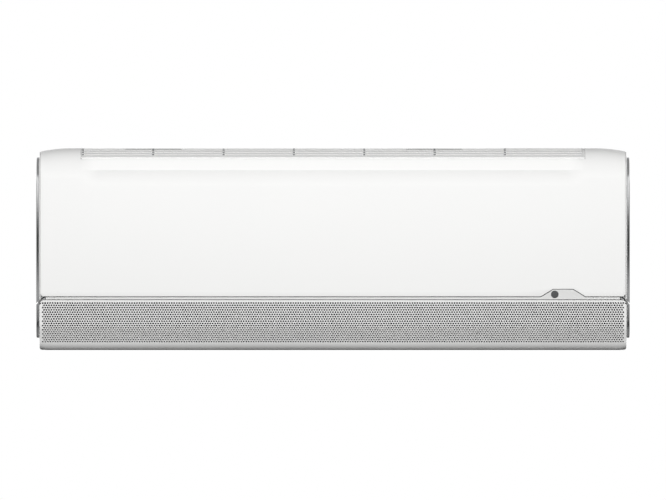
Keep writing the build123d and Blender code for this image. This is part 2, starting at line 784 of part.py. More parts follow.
def link_rod(side):
    """Flat rod that ties the five vanes of one side together."""
    places = vane_places(side)
    low = vane_t0 - 3 - 4.3
    rod = slab(places[0] - 5, places[-1] + 5, link_s - 2.6, link_s + 2.6, low + 1, low + 4)
    for x in places:
        rod -= pin_across(x, link_s, link_pin + link_clear, low - 1, low + 6)
    return rod


def vane_motor(x):
    """Step motor under the duct floor that turns the first vane of one side."""
    low = duct_floor - shell_wall - gap
    body = pin_across(x, vane_pivot_s, vane_motor_radius, low - 15, low)
    return body + pin_across(x, vane_pivot_s, vane_shaft, low - 1, vane_t0 - 5)


node("inner_louver", inner_louver())
louver_drive = step_motor(duct_right + shell_wall + gap, duct_right + shell_wall + 15, *louver_axis,
                          10, louver_pin, louver_right - 10)
node("louver_motor", louver_drive)
for side in ("left", "right"):
    for number, x in enumerate(vane_places(side), 1):
        node(f"vane_{side}_{number}", vane(x, number == 1))
    node(f"link_rod_{side}", link_rod(side))
    node(f"vane_motor_{side}", vane_motor(vane_places(side)[0]))


# ---------------------------------------------------------------- fan
bearing_radius = 14
bearing_x0 = duct_left - 8
bearing_x1 = duct_left + 4
shaft_end = 376
strap_x0 = 346
strap_x1 = 374
strap_wall = 3
blade_wall = 1
disc_wall = 2
hub_radius = 12
hub_length = 18
blade_depth = 11
blade_inner = fan_radius - blade_depth
blade_lean = 9


def fan_rotor():
    """Cross-flow rotor: moulded segments of curved blades between discs."""
    blades = []
    for i in range(blade_count):
        a = 360 / blade_count * i
        mid = (blade_inner + fan_radius) / 2
        thick = degrees(asin(blade_wall / mid))
        root, tip = blade_inner - 0.5, fan_radius - 0.3
        bend, lean = a + blade_lean / 4, a + blade_lean
        axis = (0, 0)
        blades.append(outline(polar(axis, root, a), (polar(axis, mid, bend), polar(axis, tip, lean)),
                              polar(axis, tip, lean + thick),
                              (polar(axis, mid, bend + thick), polar(axis, root, a + thick))))
    ring = Circle(fan_radius) - Circle(blade_inner - 2)
    pitch = (fan_right - fan_left) / segment_count
    place = Pos(fan_y, fan_z)
    section = place * (Sketch() + blades)
    disc = place * (Circle(fan_radius) - Circle(shaft_radius))
    hub = place * (Circle(hub_radius) - Circle(shaft_radius))
    shape = along(disc, fan_left, fan_left + disc_wall) + along(disc, fan_right - disc_wall, fan_right)
    shape += along(hub, fan_left + disc_wall, fan_left + hub_length)
    shape += along(hub, fan_right - hub_length, fan_right - disc_wall)
    for i in range(1, segment_count):
        shape += along(place * ring, fan_left + i * pitch - 1, fan_left + i * pitch + 1)
    return shape + along(section, fan_left + 1, fan_right - 1)


def fan_motor():
    body = rod_x(fan_y, fan_z, motor_radius, motor_x0 + 4, motor_x1 - 4)
    body += rod_x(fan_y, fan_z, motor_radius - 12, motor_x0, motor_x1)
    return body - rod_x(fan_y, fan_z, shaft_hole, motor_x0 - 1, shaft_end + 0.5)


def motor_cover():
    """Strap that clamps the fan motor down on its cradle."""
    outer = motor_radius + mount_wall
    ring = rod_x(fan_y, fan_z, outer + strap_wall, strap_x0, strap_x1)
    ring -= block(strap_x0 - 1, strap_x1 + 1, fan_y - 80, fan_y + 80, fan_z - 80, fan_z - 20)
    foot = block(strap_x0, strap_x1, fan_y - 45, fan_y - 34, fan_z - 34, fan_z - 19)
    foot += block(strap_x0, strap_x1, fan_y + 40, fan_y + 45, fan_z - 34, fan_z - 14)
    return ring + foot - rod_x(fan_y, fan_z, outer, strap_x0 - 1, strap_x1 + 1)


def motor_mount(x):
    ring = rod_x(fan_y, fan_z, motor_radius + mount_wall, x, x + 8)
    return ring - rod_x(fan_y, fan_z, motor_radius, x - 1, x + 9)


node("fan_rotor", fan_rotor())
node("fan_shaft", rod_x(fan_y, fan_z, shaft_radius, bearing_x0, fan_left + 16),
     rod_x(fan_y, fan_z, shaft_radius, fan_right - 18, shaft_end))
node("fan_bearing", rod_x(fan_y, fan_z, bearing_radius, bearing_x0, bearing_x1)
     - rod_x(fan_y, fan_z, shaft_hole, bearing_x0 - 1, bearing_x1 + 1))
node("fan_motor", fan_motor())
node("motor_mounts", motor_mount(strap_x0 + 2), motor_mount(strap_x1 - 10))
node("motor_cover", motor_cover())


# ---------------------------------------------------------------- evaporator and pipes
coil_left = -405
coil_right = 315
coil_depth = 25
tube_radius = 3.5
tube_pitch = 18
tube_row = 6.25
plate_wall = 1
bend_reach = 2
coil_blocks = [((front + 34.5, fan_z - 11), (front + 34.5, fan_z + 85), 5),
               ((front + 35, fan_z + 97), (front + 85, fan_z + 163), 4),
               ((front + 108, fan_z + 163), (front + 152, fan_z + 85), 4)]


def coil_frame(start, end):
    """Unit vectors along a coil block and across it."""
    length = hypot(end[0] - start[0], end[1] - start[1])
    u = ((end[0] - start[0]) / length, (end[1] - start[1]) / length)
    return u, (-u[1], u[0]), length


def coil_face(start, end, grow=0):
    u, v, length = coil_frame(start, end)
    half = coil_depth / 2 + grow
    a = (start[0] - u[0] * grow, start[1] - u[1] * grow)
    b = (end[0] + u[0] * grow, end[1] + u[1] * grow)
    return outline((a[0] + v[0] * half, a[1] + v[1] * half), (b[0] + v[0] * half, b[1] + v[1] * half),
                   (b[0] - v[0] * half, b[1] - v[1] * half), (a[0] - v[0] * half, a[1] - v[1] * half))


def tube_centres(start, end, count, row):
    """Side view centres of the straight tubes of one row in one block."""
    u, v, length = coil_frame(start, end)
    first = (length - (count - 1) * tube_pitch) / 2
    places = []
    for i in range(count):
        d = first + i * tube_pitch
        places.append((start[0] + u[0] * d + v[0] * row, start[1] + u[1] * d + v[1] * row))
    return places


def serpentine(places):
    """One tube that runs back and forth along X through the given centres."""
    left, right = coil_left - plate_wall - bend_reach, coil_right + plate_wall + bend_reach
    edges = []
    x_here, x_next = right + 4, left
    for i, (y, z) in enumerate(places):
        x_end = x_next if i < len(places) - 1 else x_next - 4 * (1 if x_next == left else -1)
        edges.append(Line((x_here, y, z), (x_end, y, z)))
        if i < len(places) - 1:
            y2, z2 = places[i + 1]
            bulge = tube_pitch / 2 * (-1 if x_next == left else 1)
            edges.append(ThreePointArc((x_end, y, z), (x_end + bulge, (y + y2) / 2, (z + z2) / 2),
                                       (x_end, y2, z2)))
        x_here, x_next = x_end, right if x_next == left else left
    start = Plane(origin=(right + 4, *places[0]), z_dir=(-1, 0, 0))
    return sweep(start * Circle(tube_radius), path=Wire(edges))


def coil_rows():
    return [tube_centres(start, end, count, row) for start, end, count in coil_blocks
            for row in (-tube_row, tube_row)]


def coil_holes(x0, x1):
    return [rod_x(y, z, tube_radius, x0, x1) for places in coil_rows() for y, z in places]


def evaporator_fins():
    """Three blocks of stacked aluminium fins, drawn solid with their tube holes."""
    holes = coil_holes(coil_left - 1, coil_right + 1)
    blocks = []
    for start, end, count in coil_blocks:
        blocks.append(along(coil_face(start, end), coil_left, coil_right) - holes)
    return blocks


def evaporator_end_plate(x0):
    (a, b, _), (c, d, _), (e, f, _) = coil_blocks
    half = coil_depth / 2
    face = coil_face(a, b, 0.5) + coil_face(c, d, 0.5) + coil_face(e, f, 0.5)
    face += outline((a[0] - half - 0.2, a[1] + 2), (a[0] - half - 0.2, pan_floor + gap),
                    (pan_floor_rear, pan_floor + gap), (a[0] + half, pan_slope(a[0] + half) + gap),
                    (a[0] + half, a[1] + 2))
    face += outline((b[0] - 8, b[1] - 4), (c[0] - 14, c[1] + 4), (c[0] + 6, c[1] + 4), (b[0] + 12, b[1] - 4))
    face += outline((d[0] - 6, d[1] - 6), (d[0] - 4, d[1] + 4), (e[0] + 4, e[1] + 4), (e[0] + 6, e[1] - 6))
    return along(face, x0, x0 + plate_wall) - coil_holes(x0 - 1, x0 + plate_wall + 1)


pan_left = -440
pan_right = 344
pan_front = bar_front + shell_wall + gap
pan_wall = 2.5
pan_inner = front + 21.4
pan_floor = bottom + 96
pan_floor_rear = front + 30
pan_lip = fan_z - 3
spigot_left = -427
spigot_right = 333
spigot_z = bottom + 92
spigot_radius = 8.5
spigot_bore = 6.5
spigot_end = front + 78


def pan_slope(y):
    """Height of the trough floor behind its flat part."""
    rear = front + 47.5
    high = fan_z - 12.5
    return pan_floor + (high - pan_floor) * (y - pan_floor_rear) / (rear - pan_floor_rear)


def drain_pan():
    """Trough under the evaporator; its underside is the ceiling of the air duct."""
    tip = duct(tongue, duct_ceiling)
    nose = (pan_front, tip[1] + pan_front - tip[0])
    under = window_low - 16 - shell_wall - gap
    face = outline((tip[0], pan_lip), tip, nose, (pan_front, under),
                   (pan_inner - 2, under), (pan_inner - 2, bottom + 124), (pan_inner, bottom + 124),
                   (pan_inner, pan_floor), (pan_floor_rear, pan_floor),
                   (front + 47.5, pan_slope(front + 47.5)), (front + 47.5, pan_lip))
    shape = along(face, pan_left, pan_right)
    end = outline((tip[0], pan_lip), tip, nose, (pan_front, under),
                  (pan_inner - 2, under), (pan_inner - 2, pan_lip))
    shape += along(end, pan_left, pan_left + pan_wall) + along(end, pan_right - pan_wall, pan_right)
    left_wall = duct_left - shell_wall - 1
    right_wall = duct_right + shell_wall + 1
    for x0, x1, x, tail in ((pan_left, left_wall, spigot_left, spigot_end),
                            (right_wall, pan_right, spigot_right, tip[0] + 9)):
        low = bottom + 80.5
        shape += block(x0, x1, pan_front, tip[0], low, pan_floor + 4)
        shape -= block(x0 + pan_wall, x1 - pan_wall, pan_inner, tip[0] - pan_wall,
                       low + pan_wall, pan_lip + 9)
        shape += rod_y(x, spigot_z, spigot_radius, tip[0] - 1, tail)
        shape -= rod_y(x, spigot_z, spigot_bore, tip[0] - pan_wall - 1, tail + 1)
    return shape


suction_radius = 4.76
liquid_radius = 3.175
pipe_end = -66
suction_line = (-31, bottom + 42)
liquid_line = (-26, bottom + 18)
suction_x = 337
liquid_x = 350
nut_length = 22
nut_reach = 17
flare = 2
flare_wall = 1.5
sleeve_start = 26         # bare pipe at the nut and before the downward bend
sleeve_end = 50


def pipe(start, x_down, line, radius):
    """Copper pipe from the coil, down the right side and back along the recess."""
    y, z = line
    points = [start, (x_down, start[1], start[2]), (x_down, y, start[2] - 40), (x_down, y, z),
              (pipe_end, y, z)]
    path = FilletPolyline(*points, radius=[10, 10, 14])
    first = Plane(origin=start, z_dir=(1, 0, 0))
    tube = sweep(first * Circle(radius), path=path)
    return tube + rod_x(y, z, radius + flare, pipe_end, pipe_end + flare_wall)


def flare_nut(line, radius, thread, across_flats):
    y, z = line
    hexagon = Pos(y, z) * RegularPolygon(across_flats / 2, 6, major_radius=False)
    x0 = pipe_end - nut_reach
    nut = along(hexagon, x0, x0 + nut_length)
    nut -= rod_x(y, z, thread, x0 - 1, pipe_end)
    nut -= rod_x(y, z, radius + flare + pin_fit, x0, pipe_end + flare_wall)
    return nut - rod_x(y, z, radius + pin_fit, x0, x0 + nut_length + 1)


def foam_sleeve(line, radius, outer):
    y, z = line
    sleeve = rod_x(y, z, outer, pipe_end + sleeve_start, suction_x - sleeve_end)
    return sleeve - rod_x(y, z, radius, pipe_end, suction_x)


suction_start = (coil_right + plate_wall + bend_reach + 4, *coil_rows()[4][0])
liquid_start = (coil_right + plate_wall + bend_reach + 4, *coil_rows()[5][0])
thread_suction = 7.9
thread_liquid = 5.55
node("evaporator_fins", *evaporator_fins())
node("evaporator_tubes", *[serpentine(places) for places in coil_rows()])
node("evaporator_end_plates", evaporator_end_plate(coil_left - plate_wall), evaporator_end_plate(coil_right))
node("drain_pan", drain_pan())
node("suction_pipe", pipe(suction_start, suction_x, suction_line, suction_radius))
node("liquid_pipe", pipe(liquid_start, liquid_x, liquid_line, liquid_radius))
node("flare_nuts", flare_nut(suction_line, suction_radius, thread_suction, 22),
     flare_nut(liquid_line, liquid_radius, thread_liquid, 17))
node("pipe_insulation", foam_sleeve(suction_line, suction_radius, 10),
     foam_sleeve(liquid_line, liquid_radius, 7.5))
plug_end = duct(tongue, duct_ceiling)[0] + 9
node("drain_plug", rod_y(spigot_right, spigot_z, spigot_bore, plug_end - 11, plug_end)
     + rod_y(spigot_right, spigot_z, spigot_radius + 1, plug_end, plug_end + 2))


# ---------------------------------------------------------------- electrics
box_x0 = 392
box_x1 = 443
box_y0 = front + 24
box_y1 = front + 138
box_z0 = bottom + 98
box_z1 = top - 44
box_wall = 2
board_thick = 1.6
board_y = front + 70


def control_box():
    """Open-fronted box at the right end, hung from the end wall by two ears."""
    shape = block(box_x0, box_x1, box_y0, box_y1, box_z0, box_z1)
    shape -= block(box_x0 + box_wall, box_x1 - box_wall, box_y0 - 1, box_y1 - box_wall,
                   box_z0 + box_wall, box_z1 - box_wall)
    for z in (box_z0 + 30, box_z1 - 40):
        shape += block(box_x1 - 1, end_wall_in - gap, board_y, board_y + 20, z, z + 3)
    for x in (box_x0 + box_wall, box_x1 - box_wall - 4):
        shape += block(x, x + 4, board_y + board_thick, board_y + 12, box_z0 + 30, box_z1 - 6)
    shape += block(box_x0 + 1, box_x1 - 1, box_y0 + 6, board_y - 10, box_z0 + 8, box_z0 + 10)
    return shape


def circuit_board():
    """Board with relay, capacitor, transformer and a row of plugs."""
    x0, x1 = box_x0 + box_wall + gap, box_x1 - box_wall - gap
    face = board_y
    shape = block(x0, x1, face, face + board_thick, box_z0 + 31, box_z1 - 8)
    shape += block(x0 + 4, x0 + 22, face - 16, face, box_z1 - 34, box_z1 - 12)
    shape += rod_y(x1 - 12, box_z1 - 24, 9, face - 28, face)
    shape += block(x0 + 5, x0 + 31, face - 22, face, box_z0 + 84, box_z0 + 112)
    shape += block(x1 - 12, x1 - 3, face - 15, face, box_z0 + 78, box_z0 + 104)
    for i in range(5):
        shape += block(x0 + 3 + i * 8.5, x0 + 10 + i * 8.5, face - 9, face, box_z0 + 40, box_z0 + 49)
    return shape


def terminal_block():
    z = box_z0 + 10
    shape = block(box_x0 + 6, box_x1 - 6, box_y0 + 12, box_y0 + 30, z, z + 14)
    pitch = (box_x1 - box_x0 - 12) / 4
    for i in range(4):
        x = box_x0 + 6 + pitch * (i + 0.5)
        shape -= rod_z(x, box_y0 + 18, 3.2, z + 8, z + 15)
        shape += rod_z(x, box_y0 + 18, 2.4, z + 6, z + 12)
        shape -= block(x - 3, x + 3, box_y0 + 11, box_y0 + 14, z + 3, z + 7)
    return shape


def cable_clamp():
    z = box_z0 + 10
    shape = block(box_x0 + 10, box_x1 - 10, box_y0 + 33, box_y0 + 39, z, z + 9)
    return shape - rod_y((box_x0 + box_x1) / 2, z, 5, box_y0 + 30, box_y0 + 42)


def control_cover():
    """Pressed cover over the front of the control box."""
    shape = block(box_x0 - 1.5, box_x1 + 1.5, box_y0 - 1.2, box_y0, box_z0 + 26, box_z1 + 1.5)
    shape += block(box_x0 - 1.5, box_x1 + 1.5, box_y0, box_y0 + 8, box_z1, box_z1 + 1.5)
    for x in (box_x0 - 1.5, box_x1):
        shape += block(x, x + 1.5, box_y0, box_y0 + 8, box_z0 + 26, box_z1)
    return shape


node("control_box", control_box())
node("control_box_cover", control_cover())
node("circuit_board", circuit_board())
node("terminal_block", terminal_block())
node("cable_clamp", cable_clamp())


# ---------------------------------------------------------------- screws, filters, chassis
screw_x = end_wall_in - 6
screw_rows = [-20, 60]
screw_radius = 2
head_radius = 4.2
head_height = 2.6
cap_height = 4


def casing_screw(x, z):
    head = rod_y(x, z, head_radius, plate_front - head_height, plate_front)
    head -= block(x - 3, x + 3, plate_front - 4, plate_front - head_height + 1, z - 0.6, z + 0.6)
    return head + rod_y(x, z, screw_radius, plate_front - 1, front + 38)


def screw_cap(x, z):
    cap = rod_y(x, z, head_radius + 2, plate_front - cap_height, plate_front)
    return cap - rod_y(x, z, head_radius, plate_front - head_height, plate_front + 1)


screw_places = [(x, z) for x in (-screw_x, screw_x) for z in screw_rows]
node("casing_screws", *[casing_screw(x, z) for x, z in screw_places])
node("screw_caps", *[screw_cap(x, z) for x, z in screw_places])

frame_high = top - 2
frame_low = top - 10.4
frame_band = 9
net_wall = 0.6
net_rows = 6
net_columns = 16
filter_edge = rib_wall / 2 + 0.8


def filter_frame(number):
    """Filter cassette that drops in through the top, with a curved finger tab at its front."""
    x0, x1 = filter_x[number][0] + filter_edge, filter_x[number][1] - filter_edge
    y0, y1 = grille_start + 2, filter_back - 1
    shape = block(x0, x1, y0, y1, frame_low, frame_high)
    for i in range(3):
        left = filter_x[number][0] + i * bay_pitch + (frame_band if i == 0 else 2)
        right = filter_x[number][0] + (i + 1) * bay_pitch - (frame_band if i == 2 else 2)
        middle = (y0 + y1) / 2
        shape -= block(left, right, y0 + frame_band, middle - 2, frame_low - 1, frame_high + 1)
        shape -= block(left, right, middle + 2, y1 - frame_band, frame_low - 1, frame_high + 1)
    hub = (grille_start, top - grille_radius)
    out, inner = grille_radius - gap, grille_radius - shell_wall
    centre = handle_centres()[number]
    tab = outline((grille_start + 4, hub[1] + out), polar(hub, out, 90),
                  (polar(hub, out, 96), polar(hub, out, 101.6)), polar(hub, inner, 101.6),
                  (polar(hub, inner, 96), polar(hub, inner, 90)), (grille_start + 4, hub[1] + inner))
    half = handle_width / 2
    return shape + along(tab, centre - half, centre + half)


def filter_net(number):
    """Fine net below the frame, as one holed sheet."""
    x0, x1 = filter_x[number][0] + filter_edge + 3, filter_x[number][1] - filter_edge - 3
    y0, y1 = grille_start + 6, filter_back - 5
    face = Pos((x0 + x1) / 2, (y0 + y1) / 2) * Rectangle(x1 - x0, y1 - y0)
    step_x = (x1 - x0 - 12) / (net_columns * 3)
    step_y = (y1 - y0 - 12) / net_rows
    cell = Rectangle(step_x - 0.8, step_y - 0.8)
    cells = [Pos(x0 + 6 + (i + 0.5) * step_x, y0 + 6 + (j + 0.5) * step_y) * cell
             for i in range(net_columns * 3) for j in range(net_rows)]
    return Pos(0, 0, frame_low - net_wall) * extrude(face - cells, amount=net_wall)


for number, side in enumerate(("left", "right")):
    node(f"filter_frame_{side}", filter_frame(number))
    node(f"filter_mesh_{side}", filter_net(number))
node("front_casing", front_casing() - [rod_y(x, z, screw_radius, front, front + 30) for x, z in screw_places])
node("chassis", chassis())
node("mounting_plate", mounting_plate())

os.makedirs("parts", exist_ok=True)
for name, solids in NODES.items():
    export_step(solids[0] if len(solids) == 1 else Compound(children=solids), f"parts/{name}.step")
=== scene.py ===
import bpy
import math
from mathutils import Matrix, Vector


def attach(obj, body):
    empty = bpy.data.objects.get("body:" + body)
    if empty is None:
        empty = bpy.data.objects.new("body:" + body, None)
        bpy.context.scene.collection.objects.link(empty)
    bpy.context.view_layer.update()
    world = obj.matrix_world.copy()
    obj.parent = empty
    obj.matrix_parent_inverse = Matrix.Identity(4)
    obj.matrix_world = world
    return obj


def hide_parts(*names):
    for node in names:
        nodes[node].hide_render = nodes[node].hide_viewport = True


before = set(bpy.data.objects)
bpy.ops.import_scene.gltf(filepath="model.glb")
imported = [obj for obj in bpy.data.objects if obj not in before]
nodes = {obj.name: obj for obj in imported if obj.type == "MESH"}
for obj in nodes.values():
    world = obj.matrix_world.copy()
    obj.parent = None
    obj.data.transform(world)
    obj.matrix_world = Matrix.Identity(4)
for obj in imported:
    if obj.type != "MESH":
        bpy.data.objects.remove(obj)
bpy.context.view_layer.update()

# ------------------------------------------------------------ room, lights and camera
# A pale studio: a long lens set level with the unit's middle, a wide soft light in front and
# weaker ones at the sides and behind, a dim room all round, and bright and dark bands that only
# glossy surfaces mirror.
bpy.ops.object.select_all(action="DESELECT")
camera_away, camera_level = 30.0, -0.0014
unit_face = -0.19
seen_width = 1.0552
sensor = 0.036
bpy.ops.object.camera_add(location=(0, unit_face - camera_away, camera_level),
                          rotation=(math.pi / 2, 0, 0))
camera = bpy.context.object
camera.name = "studio_camera"
camera.data.sensor_width = sensor * 1000
camera.data.lens = sensor * 1000 * camera_away / seen_width
bpy.context.scene.camera = camera
bpy.context.scene.view_settings.view_transform = "Standard"


def hex_colour(text):
    """An sRGB hex colour as the linear colour that a shader takes."""
    channels = [int(text[i:i + 2], 16) / 255 for i in (1, 3, 5)]
    return [c / 12.92 if c <= 0.04045 else ((c + 0.055) / 1.055) ** 2.4 for c in channels] + [1.0]


def add_node(tree, kind, links=(), **settings):
    """A shader node with its settings, and links of (its input, other node, other's output)."""
    made = tree.nodes.new(kind)
    for key, value in settings.items():
        if key.startswith("in_"):
            name = key[3:].replace("_", " ")
            made.inputs[int(name) if name.isdigit() else name].default_value = value
        else:
            setattr(made, key, value)
    for socket, other, output in links:
        tree.links.new(made.inputs[socket], other.outputs[output])
    return made


room = bpy.data.worlds.new("studio_room")
bpy.context.scene.world = room
room.use_nodes = True
tree = room.node_tree
tree.nodes.clear()
place = add_node(tree, "ShaderNodeTexCoord")
height = add_node(tree, "ShaderNodeSeparateXYZ", [(0, place, "Generated")])
share = add_node(tree, "ShaderNodeMapRange", [("Value", height, "Z")], in_From_Min=-1.0)
bands = add_node(tree, "ShaderNodeValToRGB", [(0, share, "Result")])
# What glossy surfaces mirror: pairs of a height, from -1 to 1, and the room's level there.
steps = [(-1.0, 0.2), (-0.8, 0.18), (-0.42, 0.06), (-0.16, 0.06), (-0.105, 0.16), (-0.08, 0.42),
         (-0.066, 0.40), (-0.05, 0.30), (-0.02, 0.10), (0.01, 0.045), (0.042, 0.13), (0.058, 0.37),
         (0.09, 0.85), (0.35, 0.85), (0.62, 0.27), (1.0, 0.27)]
ramp = bands.color_ramp
while len(ramp.elements) < len(steps):
    ramp.elements.new(0.5)
for element, (position, level) in zip(ramp.elements, steps):
    element.position = (position + 1) / 2
    element.color = (level, level, level, 1)
path = add_node(tree, "ShaderNodeLightPath")
fill = add_node(tree, "ShaderNodeMapRange", [("Value", height, "Z")], in_From_Min=-0.1,
                in_From_Max=0.25, in_To_Min=0.02, in_To_Max=0.28)
dim = add_node(tree, "ShaderNodeBackground", [("Strength", fill, 0)], in_Color=(1, 1, 1, 1))
mirrored = add_node(tree, "ShaderNodeBackground", [("Color", bands, "Color")], in_Strength=1.0)
white = add_node(tree, "ShaderNodeBackground", in_Color=(1, 1, 1, 1), in_Strength=1.0)
glossy = add_node(tree, "ShaderNodeMixShader",
                  [(0, path, "Is Glossy Ray"), (1, dim, 0), (2, mirrored, 0)])
seen = add_node(tree, "ShaderNodeMath",
                [(0, path, "Is Camera Ray"), (1, path, "Is Transmission Ray")],
                operation="MAXIMUM")
shown = add_node(tree, "ShaderNodeMixShader", [(0, seen, 0), (1, glossy, 0), (2, white, 0)])
add_node(tree, "ShaderNodeOutputWorld", [("Surface", shown, 0)])

# The floor glows for the camera only; all other rays meet a dull grey, so that the unit gets no
# more light from below than over a real floor.
floor_wide, floor_level = 12, -0.72
bpy.ops.mesh.primitive_plane_add(size=floor_wide, location=(0, 0, floor_level))
floor = bpy.context.object
floor.name = "studio_floor"
pale = bpy.data.materials.new("painted pale floor")
pale.use_nodes = True
tree = pale.node_tree
tree.nodes.clear()
path = add_node(tree, "ShaderNodeLightPath")
paint = add_node(tree, "ShaderNodeBsdfDiffuse", in_Color=hex_colour("#6E6E6E"))
glow = add_node(tree, "ShaderNodeEmission", in_Color=(1, 1, 1, 1), in_Strength=0.90)
both = add_node(tree, "ShaderNodeAddShader", [(0, paint, 0), (1, glow, 0)])
bounce = add_node(tree, "ShaderNodeBsdfDiffuse", in_Color=hex_colour("#3C3C3C"))
mixed = add_node(tree, "ShaderNodeMixShader",
                 [(0, path, "Is Camera Ray"), (1, bounce, 0), (2, both, 0)])
add_node(tree, "ShaderNodeOutputMaterial", [("Surface", mixed, 0)])
floor.data.materials.append(pale)
floor.visible_glossy = False

lamps_aim = Vector((0, -0.1, 0))
lamps = [
    ("front_softbox", (0, -4.4, 0.5), (3.0, 1.6), 171),
    ("rear_softbox", (0, 4.4, 0.6), (3.0, 1.6), 80),
    ("left_softbox", (-4.4, 0, 0.5), (1.6, 1.6), 66),
    ("right_softbox", (4.4, 0, 0.5), (1.6, 1.6), 66),
]
for name, spot, (wide, high), power in lamps:
    bpy.ops.object.light_add(type="AREA", location=spot)
    lamp = bpy.context.object
    lamp.name = name
    lamp.data.shape = "RECTANGLE"
    lamp.data.size = wide
    lamp.data.size_y = high
    lamp.data.energy = power
    lamp.visible_glossy = False
    lamp.rotation_euler = (lamps_aim - Vector(spot)).to_track_quat("-Z", "Y").to_euler()

# ------------------------------------------------------------ mounting plate
# The unit hangs on a pressed sheet of galvanised steel screwed to the wall. Hot dip zinc sets in
# flat crystals, so the sheet shows patches of slightly different grey.
mm = 0.001


def finish_of(name, colour, shade, gloss, grain, relief, metallic=0.0, patch=40 * mm):
    """A finish with a fine grain of a real size and depth, and soft patches of a second shade.
    Gloss holds the lowest and highest roughness; where they are equal, the roughness is even."""
    made = bpy.data.materials.new(name)
    made.use_nodes = True
    tree = made.node_tree
    shader = tree.nodes["Principled BSDF"]
    shader.inputs["Metallic"].default_value = metallic
    place = add_node(tree, "ShaderNodeTexCoord")
    fine = add_node(tree, "ShaderNodeTexNoise", [("Vector", place, "Object")],
                    in_Scale=1 / grain, in_Detail=3.0)
    broad = add_node(tree, "ShaderNodeTexNoise", [("Vector", place, "Object")],
                     in_Scale=1 / patch, in_Detail=2.0)
    tone = add_node(tree, "ShaderNodeMix", [(0, broad, 0)], data_type="RGBA",
                    in_6=hex_colour(colour), in_7=hex_colour(shade))
    if gloss[0] == gloss[1]:
        shader.inputs["Roughness"].default_value = gloss[0]
    else:
        rough = add_node(tree, "ShaderNodeMapRange", [("Value", fine, 0)], in_From_Min=0.3,
                         in_From_Max=0.7, in_To_Min=gloss[0], in_To_Max=gloss[1])
        tree.links.new(shader.inputs["Roughness"], rough.outputs[0])
    bump = add_node(tree, "ShaderNodeBump", [("Height", fine, 0)], in_Distance=relief,
                    in_Strength=1.0)
    tree.links.new(shader.inputs["Base Color"], tone.outputs[2])
    tree.links.new(shader.inputs["Normal"], bump.outputs[0])
    tone.name, bump.name = "tone", "relief"
    return made


def dress(finish, *pieces):
    """Give new pieces, or CAD nodes by their names, a finish in place of any that they have."""
    for piece in pieces:
        mesh = (nodes[piece] if isinstance(piece, str) else piece).data
        mesh.materials.clear()
        mesh.materials.append(finish)


def tint_by(finish, pattern, output, first, second, low=0.0, high=1.0):
    """Lay two further shades over a finish by the value of a pattern node."""
    tree = finish.node_tree
    tone = tree.nodes["tone"]
    spread = add_node(tree, "ShaderNodeMapRange", [("Value", pattern, output)],
                      in_From_Min=low, in_From_Max=high)
    shades = add_node(tree, "ShaderNodeMix", [(0, spread, 0)], data_type="RGBA",
                      in_6=hex_colour(first), in_7=hex_colour(second))
    over = add_node(tree, "ShaderNodeMix", [(6, tone, 2), (7, shades, 2)], data_type="RGBA",
                    blend_type="MULTIPLY", in_0=1.0)
    tree.links.new(tree.nodes["Principled BSDF"].inputs["Base Color"], over.outputs[2])


spangle_size = 9 * mm
zinc = finish_of("hot dip galvanised steel", "#C3C6C9", "#B7BABD", (0.34, 0.5), 1.2 * mm,
                 0.01 * mm, 0.5)
tree = zinc.node_tree
place = add_node(tree, "ShaderNodeTexCoord")
crystal = add_node(tree, "ShaderNodeTexVoronoi", [("Vector", place, "Object")],
                   in_Scale=1 / spangle_size)
value = add_node(tree, "ShaderNodeSeparateColor", [(0, crystal, "Color")])
tint_by(zinc, value, 0, "#E2E4E6", "#FFFFFF")
dress(zinc, "mounting_plate", "evaporator_end_plates")

# ------------------------------------------------------------ chassis, drain pan and motor cover
# The back frame is one deep styrene moulding that carries all the rest; the drain pan hangs in
# it under the coil. Unpolished tool faces leave them an even, dull grain.
styrene = finish_of("moulded styrene", "#E4E5E3", "#DDDEDC", (0.42, 0.56), 1.4 * mm, 0.03 * mm)
dress(styrene, "chassis", "drain_pan", "motor_cover", "filter_frame_left", "filter_frame_right")

# ------------------------------------------------------------ evaporator coil
# Thin aluminium fins are pressed in hundreds onto hairpins of drawn copper tube. The fins sit
# about 1.3 mm apart; here the stripes are 2.8 mm apart, or they would blur to one grey.
stripe_pitch = 2.8 * mm
fins = finish_of("stamped aluminium fins", "#D5D9DC", "#C8CDD1", (0.3, 0.42), 2 * mm,
                 0.01 * mm, 0.9)
tree = fins.node_tree
place = add_node(tree, "ShaderNodeTexCoord")
stripes = add_node(tree, "ShaderNodeTexWave", [("Vector", place, "Object")], wave_type="BANDS",
                   bands_direction="X", wave_profile="SIN", in_Distortion=0.0,
                   in_Scale=math.pi / 10 / stripe_pitch)
# Painted shade: the dark bands between the stripes stand for the shadow in the gaps between fins.
tint_by(fins, stripes, 1, "#5D6266", "#FFFFFF", 0.1, 0.6)
ridges = add_node(tree, "ShaderNodeBump",
                  [("Height", stripes, 1), ("Normal", tree.nodes["relief"], 0)],
                  in_Distance=0.4 * mm, in_Strength=1.0)
tree.links.new(tree.nodes["Principled BSDF"].inputs["Normal"], ridges.outputs[0])
dress(fins, "evaporator_fins")

copper = finish_of("drawn copper tube", "#C98462", "#A9664A", (0.22, 0.42), 3 * mm, 0.01 * mm,
                   1.0, 25 * mm)
dress(copper, "evaporator_tubes", "suction_pipe", "liquid_pipe")
brass = finish_of("turned brass", "#C9A55E", "#B58F4A", (0.2, 0.34), 0.8 * mm, 0.015 * mm,
                  1.0)
dress(brass, "flare_nuts")

# ------------------------------------------------------------ pipe insulation
# Each pipe runs in a slit sleeve of pale closed cell foam, pushed on from the side and glued
# along the slit, so a shallow seam runs its whole length and the ends are rounded off.
foam = finish_of("closed cell foam", "#DADAD4", "#CBCBC4", (0.75, 0.9), 1.1 * mm, 0.12 * mm)
sleeve_start, sleeve_end = -40 * mm, 287 * mm
slit_deep, slit_turn, rim_round = 0.9 * mm, 60, 1.2 * mm
weld = 0.02 * mm


